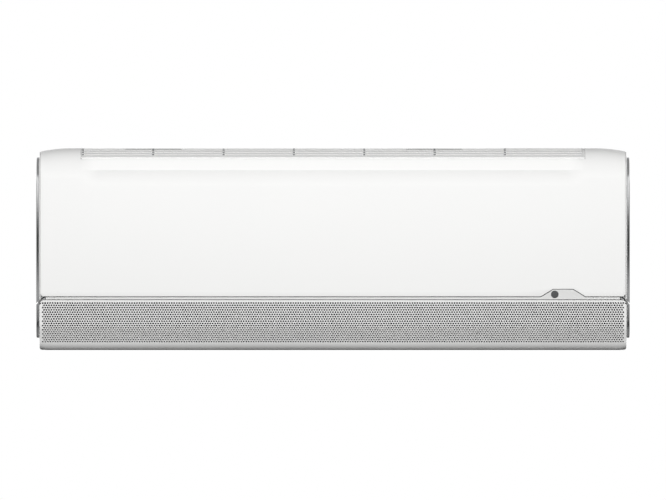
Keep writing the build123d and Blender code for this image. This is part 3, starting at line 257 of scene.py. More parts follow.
def edit_all():
    """Open the active piece in edit mode, with all of it selected."""
    bpy.ops.object.mode_set(mode="EDIT")
    bpy.ops.mesh.select_all(action="SELECT")


def finish_mesh(degrees=30, recalculate=True):
    """Merge doubles, face outwards, place in the mesh, smooth by angle."""
    edit_all()
    bpy.ops.mesh.remove_doubles(threshold=weld)
    if recalculate:
        bpy.ops.mesh.normals_make_consistent(inside=False)
    bpy.ops.object.mode_set(mode="OBJECT")
    bpy.ops.object.transform_apply(location=True, rotation=True, scale=True)
    bpy.ops.object.shade_smooth_by_angle(angle=math.radians(degrees))


def modify(kind, **settings):
    """Add a modifier to the active piece with its settings, and apply it."""
    made = bpy.context.object.modifiers.new(kind, kind)
    for key, value in settings.items():
        setattr(made, key, value)
    bpy.ops.object.modifier_apply(modifier=made.name)


def face_out():
    """Turn all faces of the active closed piece outwards."""
    edit_all()
    bpy.ops.mesh.normals_make_consistent(inside=False)
    bpy.ops.object.mode_set(mode="OBJECT")


def draw_out(step):
    """Draw the active piece's flat face out by a step into a solid."""
    edit_all()
    bpy.ops.mesh.extrude_region_move(TRANSFORM_OT_translate={"value": step})
    bpy.ops.object.mode_set(mode="OBJECT")
    face_out()


def round_edges(width, segments, degrees=50):
    """Bevel the active piece's edges that turn by more than some degrees."""
    modify("BEVEL", width=width, segments=segments, limit_method="ANGLE",
           angle_limit=math.radians(degrees))


def on_circle(hub, radius, degrees):
    """A point of a side view circle, seen along X."""
    turn = math.radians(degrees)
    return hub + radius * Vector((0, math.cos(turn), math.sin(turn)))


def foam_sleeve(name, y, z, bore, outer):
    """A ring with a nicked outer line, drawn out along the pipe, with rounded ends."""
    bpy.ops.object.select_all(action="DESELECT")
    ring = 48
    bpy.ops.mesh.primitive_circle_add(vertices=ring, radius=outer)
    sleeve = bpy.context.object
    sleeve.name = name
    bpy.ops.object.mode_set(mode="EDIT")
    bpy.ops.mesh.extrude_region_move(TRANSFORM_OT_translate={"value": (0, 0, 0)})
    bpy.ops.object.mode_set(mode="OBJECT")
    hub = Vector((sleeve_start, y, z))
    for index, vertex in enumerate(sleeve.data.vertices):
        slit = slit_deep if index == 0 else 0
        radius = outer - slit if index < ring else bore
        vertex.co = on_circle(hub, radius, slit_turn + 360 * (index % ring) / ring)
    draw_out((sleeve_end - sleeve_start, 0, 0))
    round_edges(rim_round, 3, 60)
    finish_mesh(40)
    dress(foam, sleeve)
    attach(sleeve, "root")
    return sleeve


suction_sleeve = foam_sleeve("suction_pipe_sleeve", y=-31 * mm, z=-118 * mm, bore=4.76 * mm,
                             outer=10 * mm)
foam_sleeve("liquid_pipe_sleeve", y=-26 * mm, z=-142 * mm, bore=3.175 * mm, outer=7.5 * mm)
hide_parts("pipe_insulation")

# ------------------------------------------------------------ fan, its motor and rubber parts
# A long cross-flow rotor of glass filled plastic turns on a steel shaft between a rubber bearing
# and a motor in a pressed can. Pressing leaves the can fine lines; glass fibre dulls the blades.
rubber = finish_of("moulded black rubber", "#1D1D1D", "#242424", (0.6, 0.75), 1 * mm, 0.03 * mm)
dress(rubber, "motor_mounts", "fan_bearing", "drain_plug")
can = finish_of("pressed steel can", "#A4A6A8", "#8E9092", (0.26, 0.4), 0.9 * mm, 0.02 * mm, 1.0)
dress(can, "fan_motor", "fan_shaft")
blades = finish_of("glass filled polypropylene", "#3A3D40", "#33363A", (0.4, 0.55), 1.2 * mm,
                   0.03 * mm)
dress(blades, "fan_rotor")

# ------------------------------------------------------------ control box, board and terminals
# A galvanised box with a snap cover holds the glass fibre board, green with solder resist, and a
# black phenolic terminal block. Thin tracks show as paler bands under the resist.
dress(zinc, "control_box", "control_box_cover")
track_pitch = 3 * mm
board = finish_of("solder resist on glass fibre", "#1F5A36", "#184A2C", (0.25, 0.38), 0.8 * mm,
                  0.02 * mm)
tree = board.node_tree
place = add_node(tree, "ShaderNodeTexCoord")
flat = add_node(tree, "ShaderNodeMapping", [("Vector", place, "Object")],
                in_Rotation=(0, math.pi / 2, 0))
tracks = add_node(tree, "ShaderNodeTexBrick", [("Vector", flat, 0)], in_Scale=1.0,
                  in_Mortar_Size=0.35 * mm, in_Brick_Width=4 * track_pitch,
                  in_Row_Height=track_pitch, in_Color1=(1, 1, 1, 1),
                  in_Color2=(0.8, 0.8, 0.8, 1), in_Mortar=(0.3, 0.3, 0.3, 1))
tint_by(board, tracks, 1, "#E8FFE8", "#FFFFFF")
dress(board, "circuit_board", "display_board")
phenolic = finish_of("phenolic moulding", "#202020", "#191919", (0.35, 0.5), 0.9 * mm, 0.02 * mm)
dress(phenolic, "terminal_block", "cable_clamp")

# ------------------------------------------------------------ vanes, louver and their motors
# Ten upright vanes on two link rods steer the air sideways and one long louver steers it up and
# down. They are dull grey mouldings, each row moved by a small step motor in a nickel plated can.
grey_moulding = finish_of("moulded grey ABS", "#5B5E61", "#54575A", (0.42, 0.55), 1.3 * mm,
                          0.03 * mm)
vane_names = [f"vane_{side}_{number}" for side in ("left", "right") for number in range(1, 6)]
dress(grey_moulding, "inner_louver", "link_rod_left", "link_rod_right", *vane_names)
nickel = finish_of("nickel plated can", "#B9BABB", "#A8A9AA", (0.22, 0.36), 0.9 * mm, 0.015 * mm,
                   1.0)
dress(nickel, "deflector_motor_left", "deflector_motor_right", "louver_motor", "vane_motor_left",
      "vane_motor_right")

# ------------------------------------------------------------ casing
# The casing is one white ABS moulding over the chassis, with the slotted air inlet in its curved
# top. A spark-eroded tool gives it a fine even grain that kills reflections.
casing_white = finish_of("spark-textured white ABS", "#F0F0EF", "#ECECEB", (0.42, 0.55),
                         1.5 * mm, 0.02 * mm)
dress(casing_white, "front_casing", "screw_caps")
dress(zinc, "casing_screws")

# ------------------------------------------------------------ ends of the inlet ribs
# Where the upright ribs behind the inlet cross its slots, small wedges stand in the slot mouths,
# with chamfered edges, in seven rows of five. Their grey is painted shade: it stands for the
# shadow that falls in each slot at a rib.
rib_hub, rib_radius = Vector((0, -128, 45)) * mm, 115 * mm
rib_first, rib_pitch, rib_count = -396.5 * mm, 111.5 * mm, 7
wedge_wide, wedge_half_angle = 3.2 * mm, 0.9
wedge_proud, wedge_deep, wedge_chamfer = 0.25 * mm, 1.2 * mm, 0.3 * mm
slot_angles = (24.5, 20, 15.5, 11, 6.5)


def copies_along(count, step):
    """Repeat the active piece by a step, and join copies where they meet."""
    modify("ARRAY", count=count, use_relative_offset=False, use_constant_offset=True,
           constant_offset_displace=step, use_merge_vertices=True, merge_threshold=weld)


def take(piece):
    """Make a piece the only one selected, and active."""
    bpy.ops.object.select_all(action="DESELECT")
    piece.select_set(True)
    bpy.context.view_layer.objects.active = piece


wedges = []
for angle in slot_angles:
    bpy.ops.object.select_all(action="DESELECT")
    bpy.ops.mesh.primitive_cube_add(size=1)
    wedge = bpy.context.object
    for vertex in wedge.data.vertices:
        turn = 90 + angle + (wedge_half_angle if vertex.co.y > 0 else -wedge_half_angle)
        radius = rib_radius + (wedge_proud if vertex.co.z > 0 else -wedge_deep)
        x = rib_first + wedge_wide * vertex.co.x
        vertex.co = on_circle(rib_hub, radius, turn) + Vector((x, 0, 0))
    face_out()
    modify("BEVEL", width=wedge_chamfer, segments=1)
    copies_along(rib_count, (rib_pitch, 0, 0))
    wedges.append(wedge)
take(wedges[0])
for wedge in wedges[1:]:
    wedge.select_set(True)
bpy.ops.object.join()
slot_shade_wedges = bpy.context.object
slot_shade_wedges.name = "inlet_slot_shade_wedges"
finish_mesh(20)
# Mid grey of the manual button, and painted slot shade on the wedges.
button_grey_and_slot_shade = finish_of("mid grey ABS and painted slot shade", "#77797B", "#6F7173", (0.42, 0.55), 1.3 * mm,
                     0.02 * mm)
dress(button_grey_and_slot_shade, slot_shade_wedges)
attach(slot_shade_wedges, "root")

# ------------------------------------------------------------ end caps
# A thin white ABS cap with a shallow field is clipped over each end of the casing. Its upper
# edge sinks a little, to meet the front panel's shoulders, which sink towards their ends.
cap_fall, fall_start, cap_top = 4.6 * mm, 105 * mm, 158.6 * mm
for side in ("right", "left"):
    cap = bpy.data.objects.new(f"end_cap_shaped_{side}", nodes[f"end_cap_{side}"].data.copy())
    bpy.context.collection.objects.link(cap)
    take(cap)
    for vertex in cap.data.vertices:
        share = max(0, (vertex.co.z - fall_start) / (cap_top - fall_start))
        vertex.co.z -= cap_fall * share * share
    finish_mesh(6)
    dress(casing_white, cap)
    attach(cap, "root")
    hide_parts(f"end_cap_{side}")

# ------------------------------------------------------------ filter nets
# Under each styrene filter frame lies a dark net of woven nylon that stops dust. Its threads are
# about 1 mm apart; here they are 2.6 mm apart, so that single threads still show.
nylon = finish_of("woven nylon net", "#2C3033", "#26292C", (0.5, 0.65), 0.8 * mm, 0.02 * mm)
net_depth, net_middle = 92 * mm, Vector((0, -76, 149.3)) * mm
thread_pitch, thread = 2.6 * mm, 0.5 * mm
for side, low_x, high_x in (("left", -391.2 * mm, -67.3 * mm), ("right", -56.7 * mm, 267.2 * mm)):
    bpy.ops.object.select_all(action="DESELECT")
    columns, rows = round((high_x - low_x) / thread_pitch), round(net_depth / thread_pitch)
    bpy.ops.mesh.primitive_grid_add(x_subdivisions=columns, y_subdivisions=rows, size=1,
                                    location=net_middle + Vector(((low_x + high_x) / 2, 0, 0)))
    net = bpy.context.object
    net.name = f"filter_net_{side}"
    net.scale = (high_x - low_x, net_depth, 1)
    bpy.ops.object.transform_apply(location=True, rotation=True, scale=True)
    modify("WIREFRAME", thickness=thread, use_even_offset=False, use_boundary=True)
    finish_mesh(40)
    dress(nylon, net)
    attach(net, f"filter_{side}")
    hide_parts(f"filter_mesh_{side}")

# ------------------------------------------------------------ front panel
# One long glossy moulding covers the front. Between its shoulders it folds back in a soft
# crease under the air inlet; the shoulders roll over the top. It lifts on two lugs. ABS from a
# polished tool has an even gloss and a faint, slow waviness that softens reflections.
gloss_white = finish_of("polished white ABS", "#F4F4F3", "#F3F3F2", (0.27, 0.27), 45 * mm,
                        0.002 * mm, 0.0, 120 * mm)
panel_end, panel_low, panel_toe = 463.2 * mm, -75 * mm, -195 * mm
panel_wall, flange = 2.5 * mm, 14 * mm
panel_face, panel_bow = -199.5 * mm, 2.4 * mm
fold_start, fold_round, crease = 98 * mm, 38.5 * mm, 125 * mm
strip_top, strip_rear = 142.8 * mm, -186.2 * mm
roll_level, roll_round, shoulder_rear = 110 * mm, 50 * mm, -140 * mm
fade_start, fade_end, notch_end = 372 * mm, 401 * mm, 399.6 * mm
sink_start, sink_slope, sink_curve = 418.5 * mm, 0.0169, 0.00205
last_turn = 120
strip_bump = ((328.2, -90), (328.2, -75.5), (348.4, -63.2), (381, -63.2), (401, -75.5), (401, -90))
end_notch = ((470, -71.5), (463.3, -71.5), (459.7, -75.1), (459.7, -90), (470, -90))
cut_front, cut_rear = -210 * mm, -180 * mm


def bulge(z, low, high, y_low, y_high, push):
    """Front line between two heights, bowed forwards by a small push."""
    share = (z - low) / (high - low)
    return y_low + (y_high - y_low) * share - push * 4 * share * (1 - share)


def shoulder_y(z):
    """Y of a shoulder's face at a height: bowed, then rolled back towards the top."""
    if z <= roll_level:
        return bulge(z, panel_low, roll_level, panel_toe, panel_face, panel_bow)
    return panel_face + roll_round - math.sqrt(roll_round ** 2 - (z - roll_level) ** 2)


def strip_y(z):
    """Y of the face between the shoulders: bowed, folded back in an arc up to the crease, and
    straight from there to the top edge."""
    if z <= fold_start:
        return bulge(z, panel_low, fold_start, panel_toe, panel_face, panel_bow)
    rise = min(z, crease) - fold_start
    fold = panel_face + fold_round - math.sqrt(fold_round ** 2 - rise ** 2)
    if z <= crease:
        return fold
    return fold + (strip_rear - fold) * (z - crease) / (strip_top - crease)


def smooth_step(value, low, high):
    """A share that goes from 0 to 1 between two values, with no kink at either."""
    share = max(0, min(1, (value - low) / (high - low)))
    return share * share * (3 - 2 * share)


def sheet_of(columns, rows, place):
    """A grid primitive whose vertices are set out in columns and rows by a place function."""
    bpy.ops.object.select_all(action="DESELECT")
    bpy.ops.mesh.primitive_grid_add(x_subdivisions=len(columns) - 1, y_subdivisions=len(rows) - 1)
    made = bpy.context.object
    for index, vertex in enumerate(made.data.vertices):
        vertex.co = place(columns[index % len(columns)], rows[index // len(columns)])
    return made


def face_sheet(out=(0, 0, 1), share=0):
    """Merge the active open sheet, and turn it over if one face looks the wrong way: its first,
    or the one that lies a share along the list of faces."""
    edit_all()
    bpy.ops.mesh.remove_doubles(threshold=weld)
    bpy.ops.mesh.normals_make_consistent(inside=False)
    bpy.ops.object.mode_set(mode="OBJECT")
    faces = bpy.context.object.data.polygons
    if faces[int(len(faces) * share)].normal.dot(out) < 0:
        bpy.ops.object.mode_set(mode="EDIT")
        bpy.ops.mesh.flip_normals()
        bpy.ops.object.mode_set(mode="OBJECT")


def thicken(depth):
    """Give an open sheet its wall, inwards from the face it has."""
    modify("SOLIDIFY", thickness=depth, offset=-1, use_quality_normals=True)


def plate_of(spots, step):
    """A flat plate: a ring of spots, filled, and drawn out by a step."""
    bpy.ops.object.select_all(action="DESELECT")
    bpy.ops.mesh.primitive_circle_add(vertices=len(spots), radius=0.01, fill_type="NGON")
    plate = bpy.context.object
    for vertex, spot in zip(plate.data.vertices, spots):
        vertex.co = spot
    draw_out(step)
    return plate


def plate_in_front(points, y0, y1):
    """A plate square to Y, from a ring of (x, z) points in mm."""
    return plate_of([(x * mm, y0, z * mm) for x, z in points], (0, y1 - y0, 0))


def cut_away(points, y0, y1):
    """Cut the shape of such a plate out of the active piece."""
    piece = bpy.context.object
    tool = plate_in_front(points, y0, y1)
    take(piece)
    modify("BOOLEAN", operation="DIFFERENCE", object=tool, solver="EXACT")
    bpy.data.objects.remove(tool)


def end_fall(x, z):
    """How far the top of a shoulder sinks towards the unit's end."""
    past = max(0, abs(x) - sink_start) / mm
    rise = max(0, (z - roll_level) / roll_round)
    return (sink_slope * past + sink_curve * past * past) * mm * rise


def face_place(x, z):
    """A point of the panel's face, which changes from the strip's line to the shoulders'."""
    share = smooth_step(abs(x), fade_start, fade_end)
    y = strip_y(z) * (1 - share) + shoulder_y(z) * share
    return x, y, z - end_fall(x, z)


def shoulder_place(place, turn):
    """A point of a shoulder's roll; place holds its x and how deep it lies below the face. Turns
    from 90 to the last lie on the flat part behind the roll."""
    x, depth = place
    hub = Vector((0, panel_face + roll_round, roll_level))
    spot = on_circle(hub, roll_round - depth, 180 - min(turn, 90))
    if turn > 90:
        spot.y += (turn - 90) / (last_turn - 90) * (shoulder_rear - hub.y)
    return x, spot.y, spot.z - end_fall(x, spot.z)


side_columns = [notch_end, 401.5 * mm, 404 * mm, 408 * mm, 413 * mm, sink_start]
side_columns += [sink_start + (panel_end - sink_start) * i / 8 for i in range(1, 9)]
fade_columns = [(370 + 2 * i) * mm for i in range(15)]
middle_columns = [0, 100 * mm, 200 * mm, 300 * mm]
right_columns = middle_columns + fade_columns + side_columns
columns = [-x for x in reversed(right_columns[1:])] + right_columns
rows = [panel_low + (fold_start - panel_low) * i / 24 for i in range(25)]
rows += [fold_start + 2 * i * mm for i in range(1, 14)]
rows += [crease - 0.4 * mm, crease, crease + 0.4 * mm, 126 * mm, 130 * mm, 135 * mm, 139 * mm]
rows.append(strip_top)
panel = sheet_of(columns, rows, face_place)
panel.name = "front_panel_shell"
first_turn = math.degrees(math.asin((strip_top - roll_level) / roll_round))
turns = [first_turn + (90 - first_turn) * i / 10 for i in range(11)] + [105, last_turn]
for side in (-1, 1):
    places = [(side * notch_end, flange)] + [(side * x, 0) for x in side_columns]
    top = sheet_of(places, turns, shoulder_place)
    top.select_set(True)
    panel.select_set(True)
    bpy.context.view_layer.objects.active = panel
    bpy.ops.object.join()
take(panel)
face_sheet((0, -1, 0), 0.5)
thicken(panel_wall)
cut_away(strip_bump, cut_front, cut_rear)
for side in (-1, 1):
    cut_away([(side * x, z) for x, z in end_notch], cut_front, cut_rear)
round_edges(0.5 * mm, 2)
finish_mesh(35)
dress(gloss_white, panel)
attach(panel, "panel")
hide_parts("front_panel")

# ------------------------------------------------------------ display strip and receiver lens
# A strip of pale tinted acrylic fills the gap between front panel and outlet panel and hides the
# lamps. It rises in a low bump round the smoked acrylic lens of the remote control receiver.
tinted = finish_of("pale tinted acrylic", "#DCDCDB", "#D9D9D8", (0.12, 0.18), 8 * mm, 0.003 * mm)
dress(tinted, "display_strip")
smoked = finish_of("smoked acrylic", "#565758", "#4C4D4E", (0.1, 0.16), 6 * mm, 0.003 * mm)
dress(smoked, "receiver_lens")
dress(button_grey_and_slot_shade, "manual_button")

# ------------------------------------------------------------ painted shade round the display strip
# A black strip lies round the display strip, pinched in the gap. A grey block sits at each end
# of it, where the outlet panel closes, with a slanting black strip glued on it. Black and grey
# are painted shade for the deep gaps round the strip, so that the joints read as dark lines.
# Painted shade: the black and the grey below stand for the shadow in the gaps round the strip.
strip_gap_shade = finish_of("painted gap shade, black", "#2A2B2C", "#303132", (0.75, 0.9), 0.9 * mm,
                        0.08 * mm)
corner_gap_grey_shade = finish_of("painted gap shade, grey", "#A6A7A7", "#9FA0A0", (0.6, 0.75), 1.2 * mm,
                        0.03 * mm)
strip_shade_face, corner_block_face, joint_rear = -192.2 * mm, -192 * mm, -190.05 * mm
seam_face, seam_rear = -192.4 * mm, -192.05 * mm
strip_shade_outside = [(-456.2, -80.7), (-456.2, -74), (327, -74), (347.4, -61.6), (382, -61.6),
                  (402.4, -74), (456.2, -74), (456.2, -80.7)]
strip_shade_inside = [(-454.8, -79.5), (-454.8, -76.4), (329.7, -76.4), (349.2, -64.3), (380.2, -64.3),
                 (399.5, -76.4), (454.8, -76.4), (454.8, -79.5)]
corner_block_outline = [(456.8, -80.5), (456.8, -75.2), (460.5, -75.2), (463.3, -77.4), (463.3, -80.5)]
seam = [(462.2, -80.5), (455.2, -75.3), (456.8, -74.2), (463.3, -79), (463.3, -80.5)]


def joint_piece(name, points, y0, y1, hole=()):
    """A small plate square to Y with chamfered edges, with a hole of (x, z) points cut out."""
    plate = plate_in_front(points, y0, y1)
    plate.name = name
    if hole:
        cut_away(hole, y0 - 1 * mm, y1 + 1 * mm)
    round_edges(0.2 * mm, 1)
    finish_mesh()
    return plate


dark_shade_parts = [joint_piece("strip_gap_shade_rim", strip_shade_outside, strip_shade_face, joint_rear, strip_shade_inside)]
corner_grey_shades = []
for side, name in ((1, "right"), (-1, "left")):
    turned = [(side * x, z) for x, z in corner_block_outline]
    corner_grey_shades.append(joint_piece("corner_grey_shade_" + name, turned, corner_block_face, joint_rear))
    turned = [(side * x, z) for x, z in seam]
    dark_shade_parts.append(joint_piece("corner_seam_shade_" + name, turned, seam_face, seam_rear))
dress(strip_gap_shade, *dark_shade_parts)
dress(corner_gap_grey_shade, *corner_grey_shades)
for part in dark_shade_parts + corner_grey_shades:
    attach(part, "root")

# ------------------------------------------------------------ outlet panel
# The panel that closes the air outlet is one moulded white skin on a hinge, with a fine staggered
# field of round holes and a plain rim. Its satin tool face gives it soft, broad highlights. Here
# the skin is three strips, one below another, so that none has too many faces.
satin_white = finish_of("satin white ABS", "#EDEDEC", "#EAEAE9", (0.3, 0.4), 1.5 * mm, 0.01 * mm)
lid_edge, lid_turn = Vector((0, -195.5, -80.8)) * mm, Vector((0, -124, -137)) * mm
lid_low = -160 * mm
upper_hub, upper_bend = Vector((0, -163.1, -114.9)) * mm, 30 * mm
lower_hub, lower_bend = Vector((0, -158.5, -137)) * mm, 23 * mm
upper_start, upper_end = 184, 212
sheet_half, corner_round, skin = 465 * mm, 7.5 * mm, 1.2 * mm
hole_pitch, row_pitch, hole_round = 3.93 * mm, 3.6 * mm, 1.52 * mm
holes_in_row, row_count, rows_above = 235, 19, 10
first_row = 4.7 * mm
field_top = first_row - row_pitch / 2
field_low = first_row + (row_count - 0.5) * row_pitch
hair = 0.01 * mm
lid_path = [("line", lid_edge, on_circle(upper_hub, upper_bend, upper_start)),
            ("arc", upper_hub, upper_bend, upper_start, upper_end),
            ("line", on_circle(upper_hub, upper_bend, upper_end),
             on_circle(lower_hub, lower_bend, upper_end)),
            ("arc", lower_hub, lower_bend, upper_end, 270),
            ("line", lower_hub - Vector((0, 0, lower_bend)), Vector((0, lid_turn.y, lid_low)))]


def lid_span(step):
    """Length of one step of the outlet panel's side view."""
    if step[0] == "line":
        return (step[2] - step[1]).length
    return step[2] * math.radians(step[4] - step[3])


def down_the_lid(way):
    """The point of the outlet panel's outer face that lies a given way below its top edge, with
    the outward direction there."""
    for step in lid_path:
        length = lid_span(step)
        if way <= length or step is lid_path[-1]:
            break
        way -= length
    if step[0] == "line":
        run = (step[2] - step[1]).normalized()
        return step[1] + run * way, Vector((0, run.z, -run.y))
    turn = math.degrees(way / step[2]) + step[3]
    return on_circle(step[1], step[2], turn), on_circle(Vector(), 1, turn)


def pick(kind, test):
    """In edit mode, select the vertices or edges whose points all pass the test."""
    mesh = bpy.context.object.data
    bpy.ops.mesh.select_all(action="DESELECT")
    bpy.ops.object.mode_set(mode="OBJECT")
    for item in mesh.vertices if kind == "VERT" else mesh.edges:
        ids = [item.index] if kind == "VERT" else item.vertices
        item.select = all(test(mesh.vertices[i].co) for i in ids)
    bpy.ops.object.mode_set(mode="EDIT")
    bpy.ops.mesh.select_mode(type=kind)


def punched_cell():
    """One cell of the perforated field, lying flat: a hole of eight sides in a small tile."""
    bpy.ops.object.select_all(action="DESELECT")
    bpy.ops.mesh.primitive_circle_add(vertices=8, radius=hole_round)
    bpy.ops.object.mode_set(mode="EDIT")
    bpy.ops.mesh.extrude_region_move(TRANSFORM_OT_translate={"value": (0, 0, 0)})
    grown = 1.15
    bpy.ops.transform.resize(value=(grown, grown, 1))
    reach = hole_round * grown
    wide, high = hole_pitch / 2, row_pitch / 2
    rim = hole_round * (1 + grown) / 2
    corner = reach * math.sqrt(0.5)
    pick("VERT", lambda p: p.length > rim and abs(abs(p.x) - abs(p.y)) < hair)
    bpy.ops.transform.resize(value=(wide / corner, high / corner, 1))
    pick("VERT", lambda p: p.length > rim and abs(p.y) < hair)
    bpy.ops.transform.resize(value=(wide / reach, 1, 1))
    pick("VERT", lambda p: p.length > rim and abs(p.x) < hair)
    bpy.ops.transform.resize(value=(1, high / reach, 1))
    bpy.ops.object.mode_set(mode="OBJECT")
    return bpy.context.object


def move_mesh(step):
    """Move all of the active piece's mesh."""
    edit_all()
    bpy.ops.transform.translate(value=step)
    bpy.ops.object.mode_set(mode="OBJECT")


def punched_rows(first, count):
    """Flat band of punched rows, odd rows moved along by half a pitch, closed at both ends."""
    band = []
    half = holes_in_row * hole_pitch / 2
    for odd in (0, 1):
        rows = [i for i in range(first, first + count) if i % 2 == odd]
        cell = punched_cell()
        many = holes_in_row - odd
        move_mesh((-(many - 1) * hole_pitch / 2, -(first_row + rows[0] * row_pitch), 0))
        copies_along(many, (hole_pitch, 0, 0))
        if odd:
            for side in (-1, 1):
                bpy.ops.object.mode_set(mode="EDIT")
                edge = side * (half - hole_pitch / 2)
                pick("EDGE", lambda p: abs(p.x - edge) < hair)
                bpy.ops.mesh.extrude_region_move(
                    TRANSFORM_OT_translate={"value": (side * hole_pitch / 2, 0, 0)})
                bpy.ops.object.mode_set(mode="OBJECT")
        copies_along(len(rows), (0, -2 * row_pitch, 0))
        band.append(cell)
    take(band[0])
    band[1].select_set(True)
    bpy.ops.object.join()
    return bpy.context.object


def roll_to_lid(piece):
    """Bend a flat sheet, top edge at Y 0 and running down -Y, to the outlet panel's outer face."""
    for vertex in piece.data.vertices:
        spot, out = down_the_lid(-vertex.co.y)
        vertex.co = spot + out * vertex.co.z + Vector((vertex.co.x, 0, 0))


def widen_band():
    """Plain strips from the outer columns of holes to the ends of the sheet."""
    for side in (-1, 1):
        edge = side * holes_in_row * hole_pitch / 2
        bpy.ops.object.mode_set(mode="EDIT")
        pick("EDGE", lambda p: abs(p.x - edge) < hair)
        bpy.ops.mesh.extrude_region_move(
            TRANSFORM_OT_translate={"value": (side * sheet_half - edge, 0, 0)})
        bpy.ops.object.mode_set(mode="OBJECT")


def round_corners():
    """Trim both top corners of the flat sheet to an arc, one straight cut after another."""
    bpy.ops.object.mode_set(mode="EDIT")
    for side in (-1, 1):
        hub = Vector((side * (sheet_half - corner_round), -corner_round, 0))
        for turn in (15, 30, 45, 60, 75):
            out = Vector((side * math.cos(math.radians(turn)), math.sin(math.radians(turn)), 0))
            bpy.ops.mesh.select_all(action="SELECT")
            bpy.ops.mesh.bisect(plane_co=hub + out * corner_round, plane_no=out, clear_outer=True)
    bpy.ops.object.mode_set(mode="OBJECT")


upper_skin = punched_rows(0, rows_above)
face_sheet()
widen_band()
bpy.ops.object.mode_set(mode="EDIT")
pick("EDGE", lambda p: abs(p.y + field_top) < hair)
bpy.ops.mesh.extrude_region_move(TRANSFORM_OT_translate={"value": (0, field_top, 0)})
bpy.ops.object.mode_set(mode="OBJECT")
round_corners()
face_sheet()
roll_to_lid(upper_skin)
thicken(skin)
finish_mesh(recalculate=False)
upper_skin.name = "outlet_skin_upper"

lower_skin = punched_rows(rows_above, row_count - rows_above)
face_sheet()
widen_band()
face_sheet()
roll_to_lid(lower_skin)
thicken(skin)
finish_mesh(recalculate=False)
lower_skin.name = "outlet_skin_lower"

chamfer_wide, chamfer_high = 9.5 * mm, 2.4 * mm
chamfer_start, chamfer_fade = -148 * mm, 12 * mm


def lift_corner(piece):
    """Raise the lowest edge towards both ends, which chamfers the two bottom corners."""
    for vertex in piece.data.vertices:
        past = (abs(vertex.co.x) - sheet_half + chamfer_wide) / chamfer_wide
        depth = (chamfer_start - vertex.co.z) / chamfer_fade
        if past > 0 and depth > 0:
            vertex.co.z += chamfer_high * past * min(1, depth)


def plain_band(name, half, top, low, steps):
    """A flat band without holes, in even steps from one way down the panel to another."""
    bpy.ops.object.select_all(action="DESELECT")
    pitch = (low - top) / steps
    bpy.ops.mesh.primitive_plane_add(size=1, location=(0, -top - pitch / 2, 0))
    band = bpy.context.object
    band.name = name
    band.scale = (2 * half, pitch, 1)
    bpy.ops.object.transform_apply(location=True, rotation=True, scale=True)
    copies_along(steps, (0, -pitch, 0))
    face_sheet()
    return band


lid_length = sum(lid_span(step) for step in lid_path)
border = plain_band("outlet_skin_border", sheet_half, field_low, lid_length, steps=30)
bpy.ops.object.mode_set(mode="EDIT")
for x in (chamfer_wide - sheet_half, sheet_half - chamfer_wide):
    bpy.ops.mesh.select_all(action="SELECT")
    bpy.ops.mesh.bisect(plane_co=(x, 0, 0), plane_no=(1, 0, 0))
bpy.ops.object.mode_set(mode="OBJECT")
roll_to_lid(border)
thicken(skin)
lift_corner(border)
finish_mesh(recalculate=False)

dress(satin_white, upper_skin, lower_skin, border)
for piece in (upper_skin, lower_skin, border):
    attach(piece, "deflector")
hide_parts("deflector_panel")

# ------------------------------------------------------------ cheeks of the outlet panel
# A flat cheek of the same white ABS closes each end of the outlet panel and is moulded on with
# it. Its rear is a disc round the hinge, and a boss on it sits on the step motor's shaft.
cheek_inside, cheek_face = 461 * mm, 464.8 * mm
boss_round, boss_end = 7 * mm, 451 * mm
disc_round, cheek_sink = 22.8 * mm, 0.4 * mm
disc_start = -88


def plate_across(points, x0, x1):
    """A plate square to X, from a ring of (y, z) points of the side view in metres."""
    return plate_of([(x0, y, z) for y, z in points], (x1 - x0, 0, 0))


def mirrored_copy(piece, name):
    """The left twin of a right piece, with its own mesh."""
    take(piece)
    bpy.ops.object.duplicate()
    twin = bpy.context.object
    twin.name = name
    edit_all()
    bpy.ops.transform.resize(value=(-1, 1, 1), center_override=(0, 0, 0))
    bpy.ops.mesh.normals_make_consistent(inside=False)
    bpy.ops.object.mode_set(mode="OBJECT")
    return twin


def disc_on(piece, hub, radius, x0, x1):
    """A round boss along X, joined onto a piece by a boolean union."""
    bpy.ops.object.select_all(action="DESELECT")
    bpy.ops.mesh.primitive_cylinder_add(vertices=48, radius=radius, depth=x1 - x0,
                                        location=((x0 + x1) / 2, hub.y, hub.z),
                                        rotation=(0, math.pi / 2, 0))
    disc = bpy.context.object
    take(piece)
    modify("BOOLEAN", operation="UNION", object=disc, solver="EXACT")
    bpy.data.objects.remove(disc)


face_steps = [down_the_lid(lid_length * i / 60) for i in range(61)]
cheek_outline = [(spot - out * cheek_sink).yz for spot, out in face_steps
                 if spot.y < lid_turn.y - 2 * mm]
lean = math.degrees(math.atan2(lid_edge.z - lid_turn.z, lid_edge.y - lid_turn.y)
                    - math.acos(disc_round / (lid_edge - lid_turn).length))
cheek_outline += [on_circle(lid_turn, disc_round, disc_start + (lean - disc_start) * i / 30).yz
                  for i in range(31)]
cheek_right = plate_across(cheek_outline, cheek_inside, cheek_face)
cheek_right.name = "outlet_cheek_right"
round_edges(0.6 * mm, 2)
disc_on(cheek_right, lid_turn, boss_round, boss_end, cheek_inside + 0.5 * mm)
finish_mesh()
lift_corner(cheek_right)
cheek_left = mirrored_copy(cheek_right, "outlet_cheek_left")
dress(satin_white, cheek_right, cheek_left)
for cheek in (cheek_right, cheek_left):
    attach(cheek, "deflector")
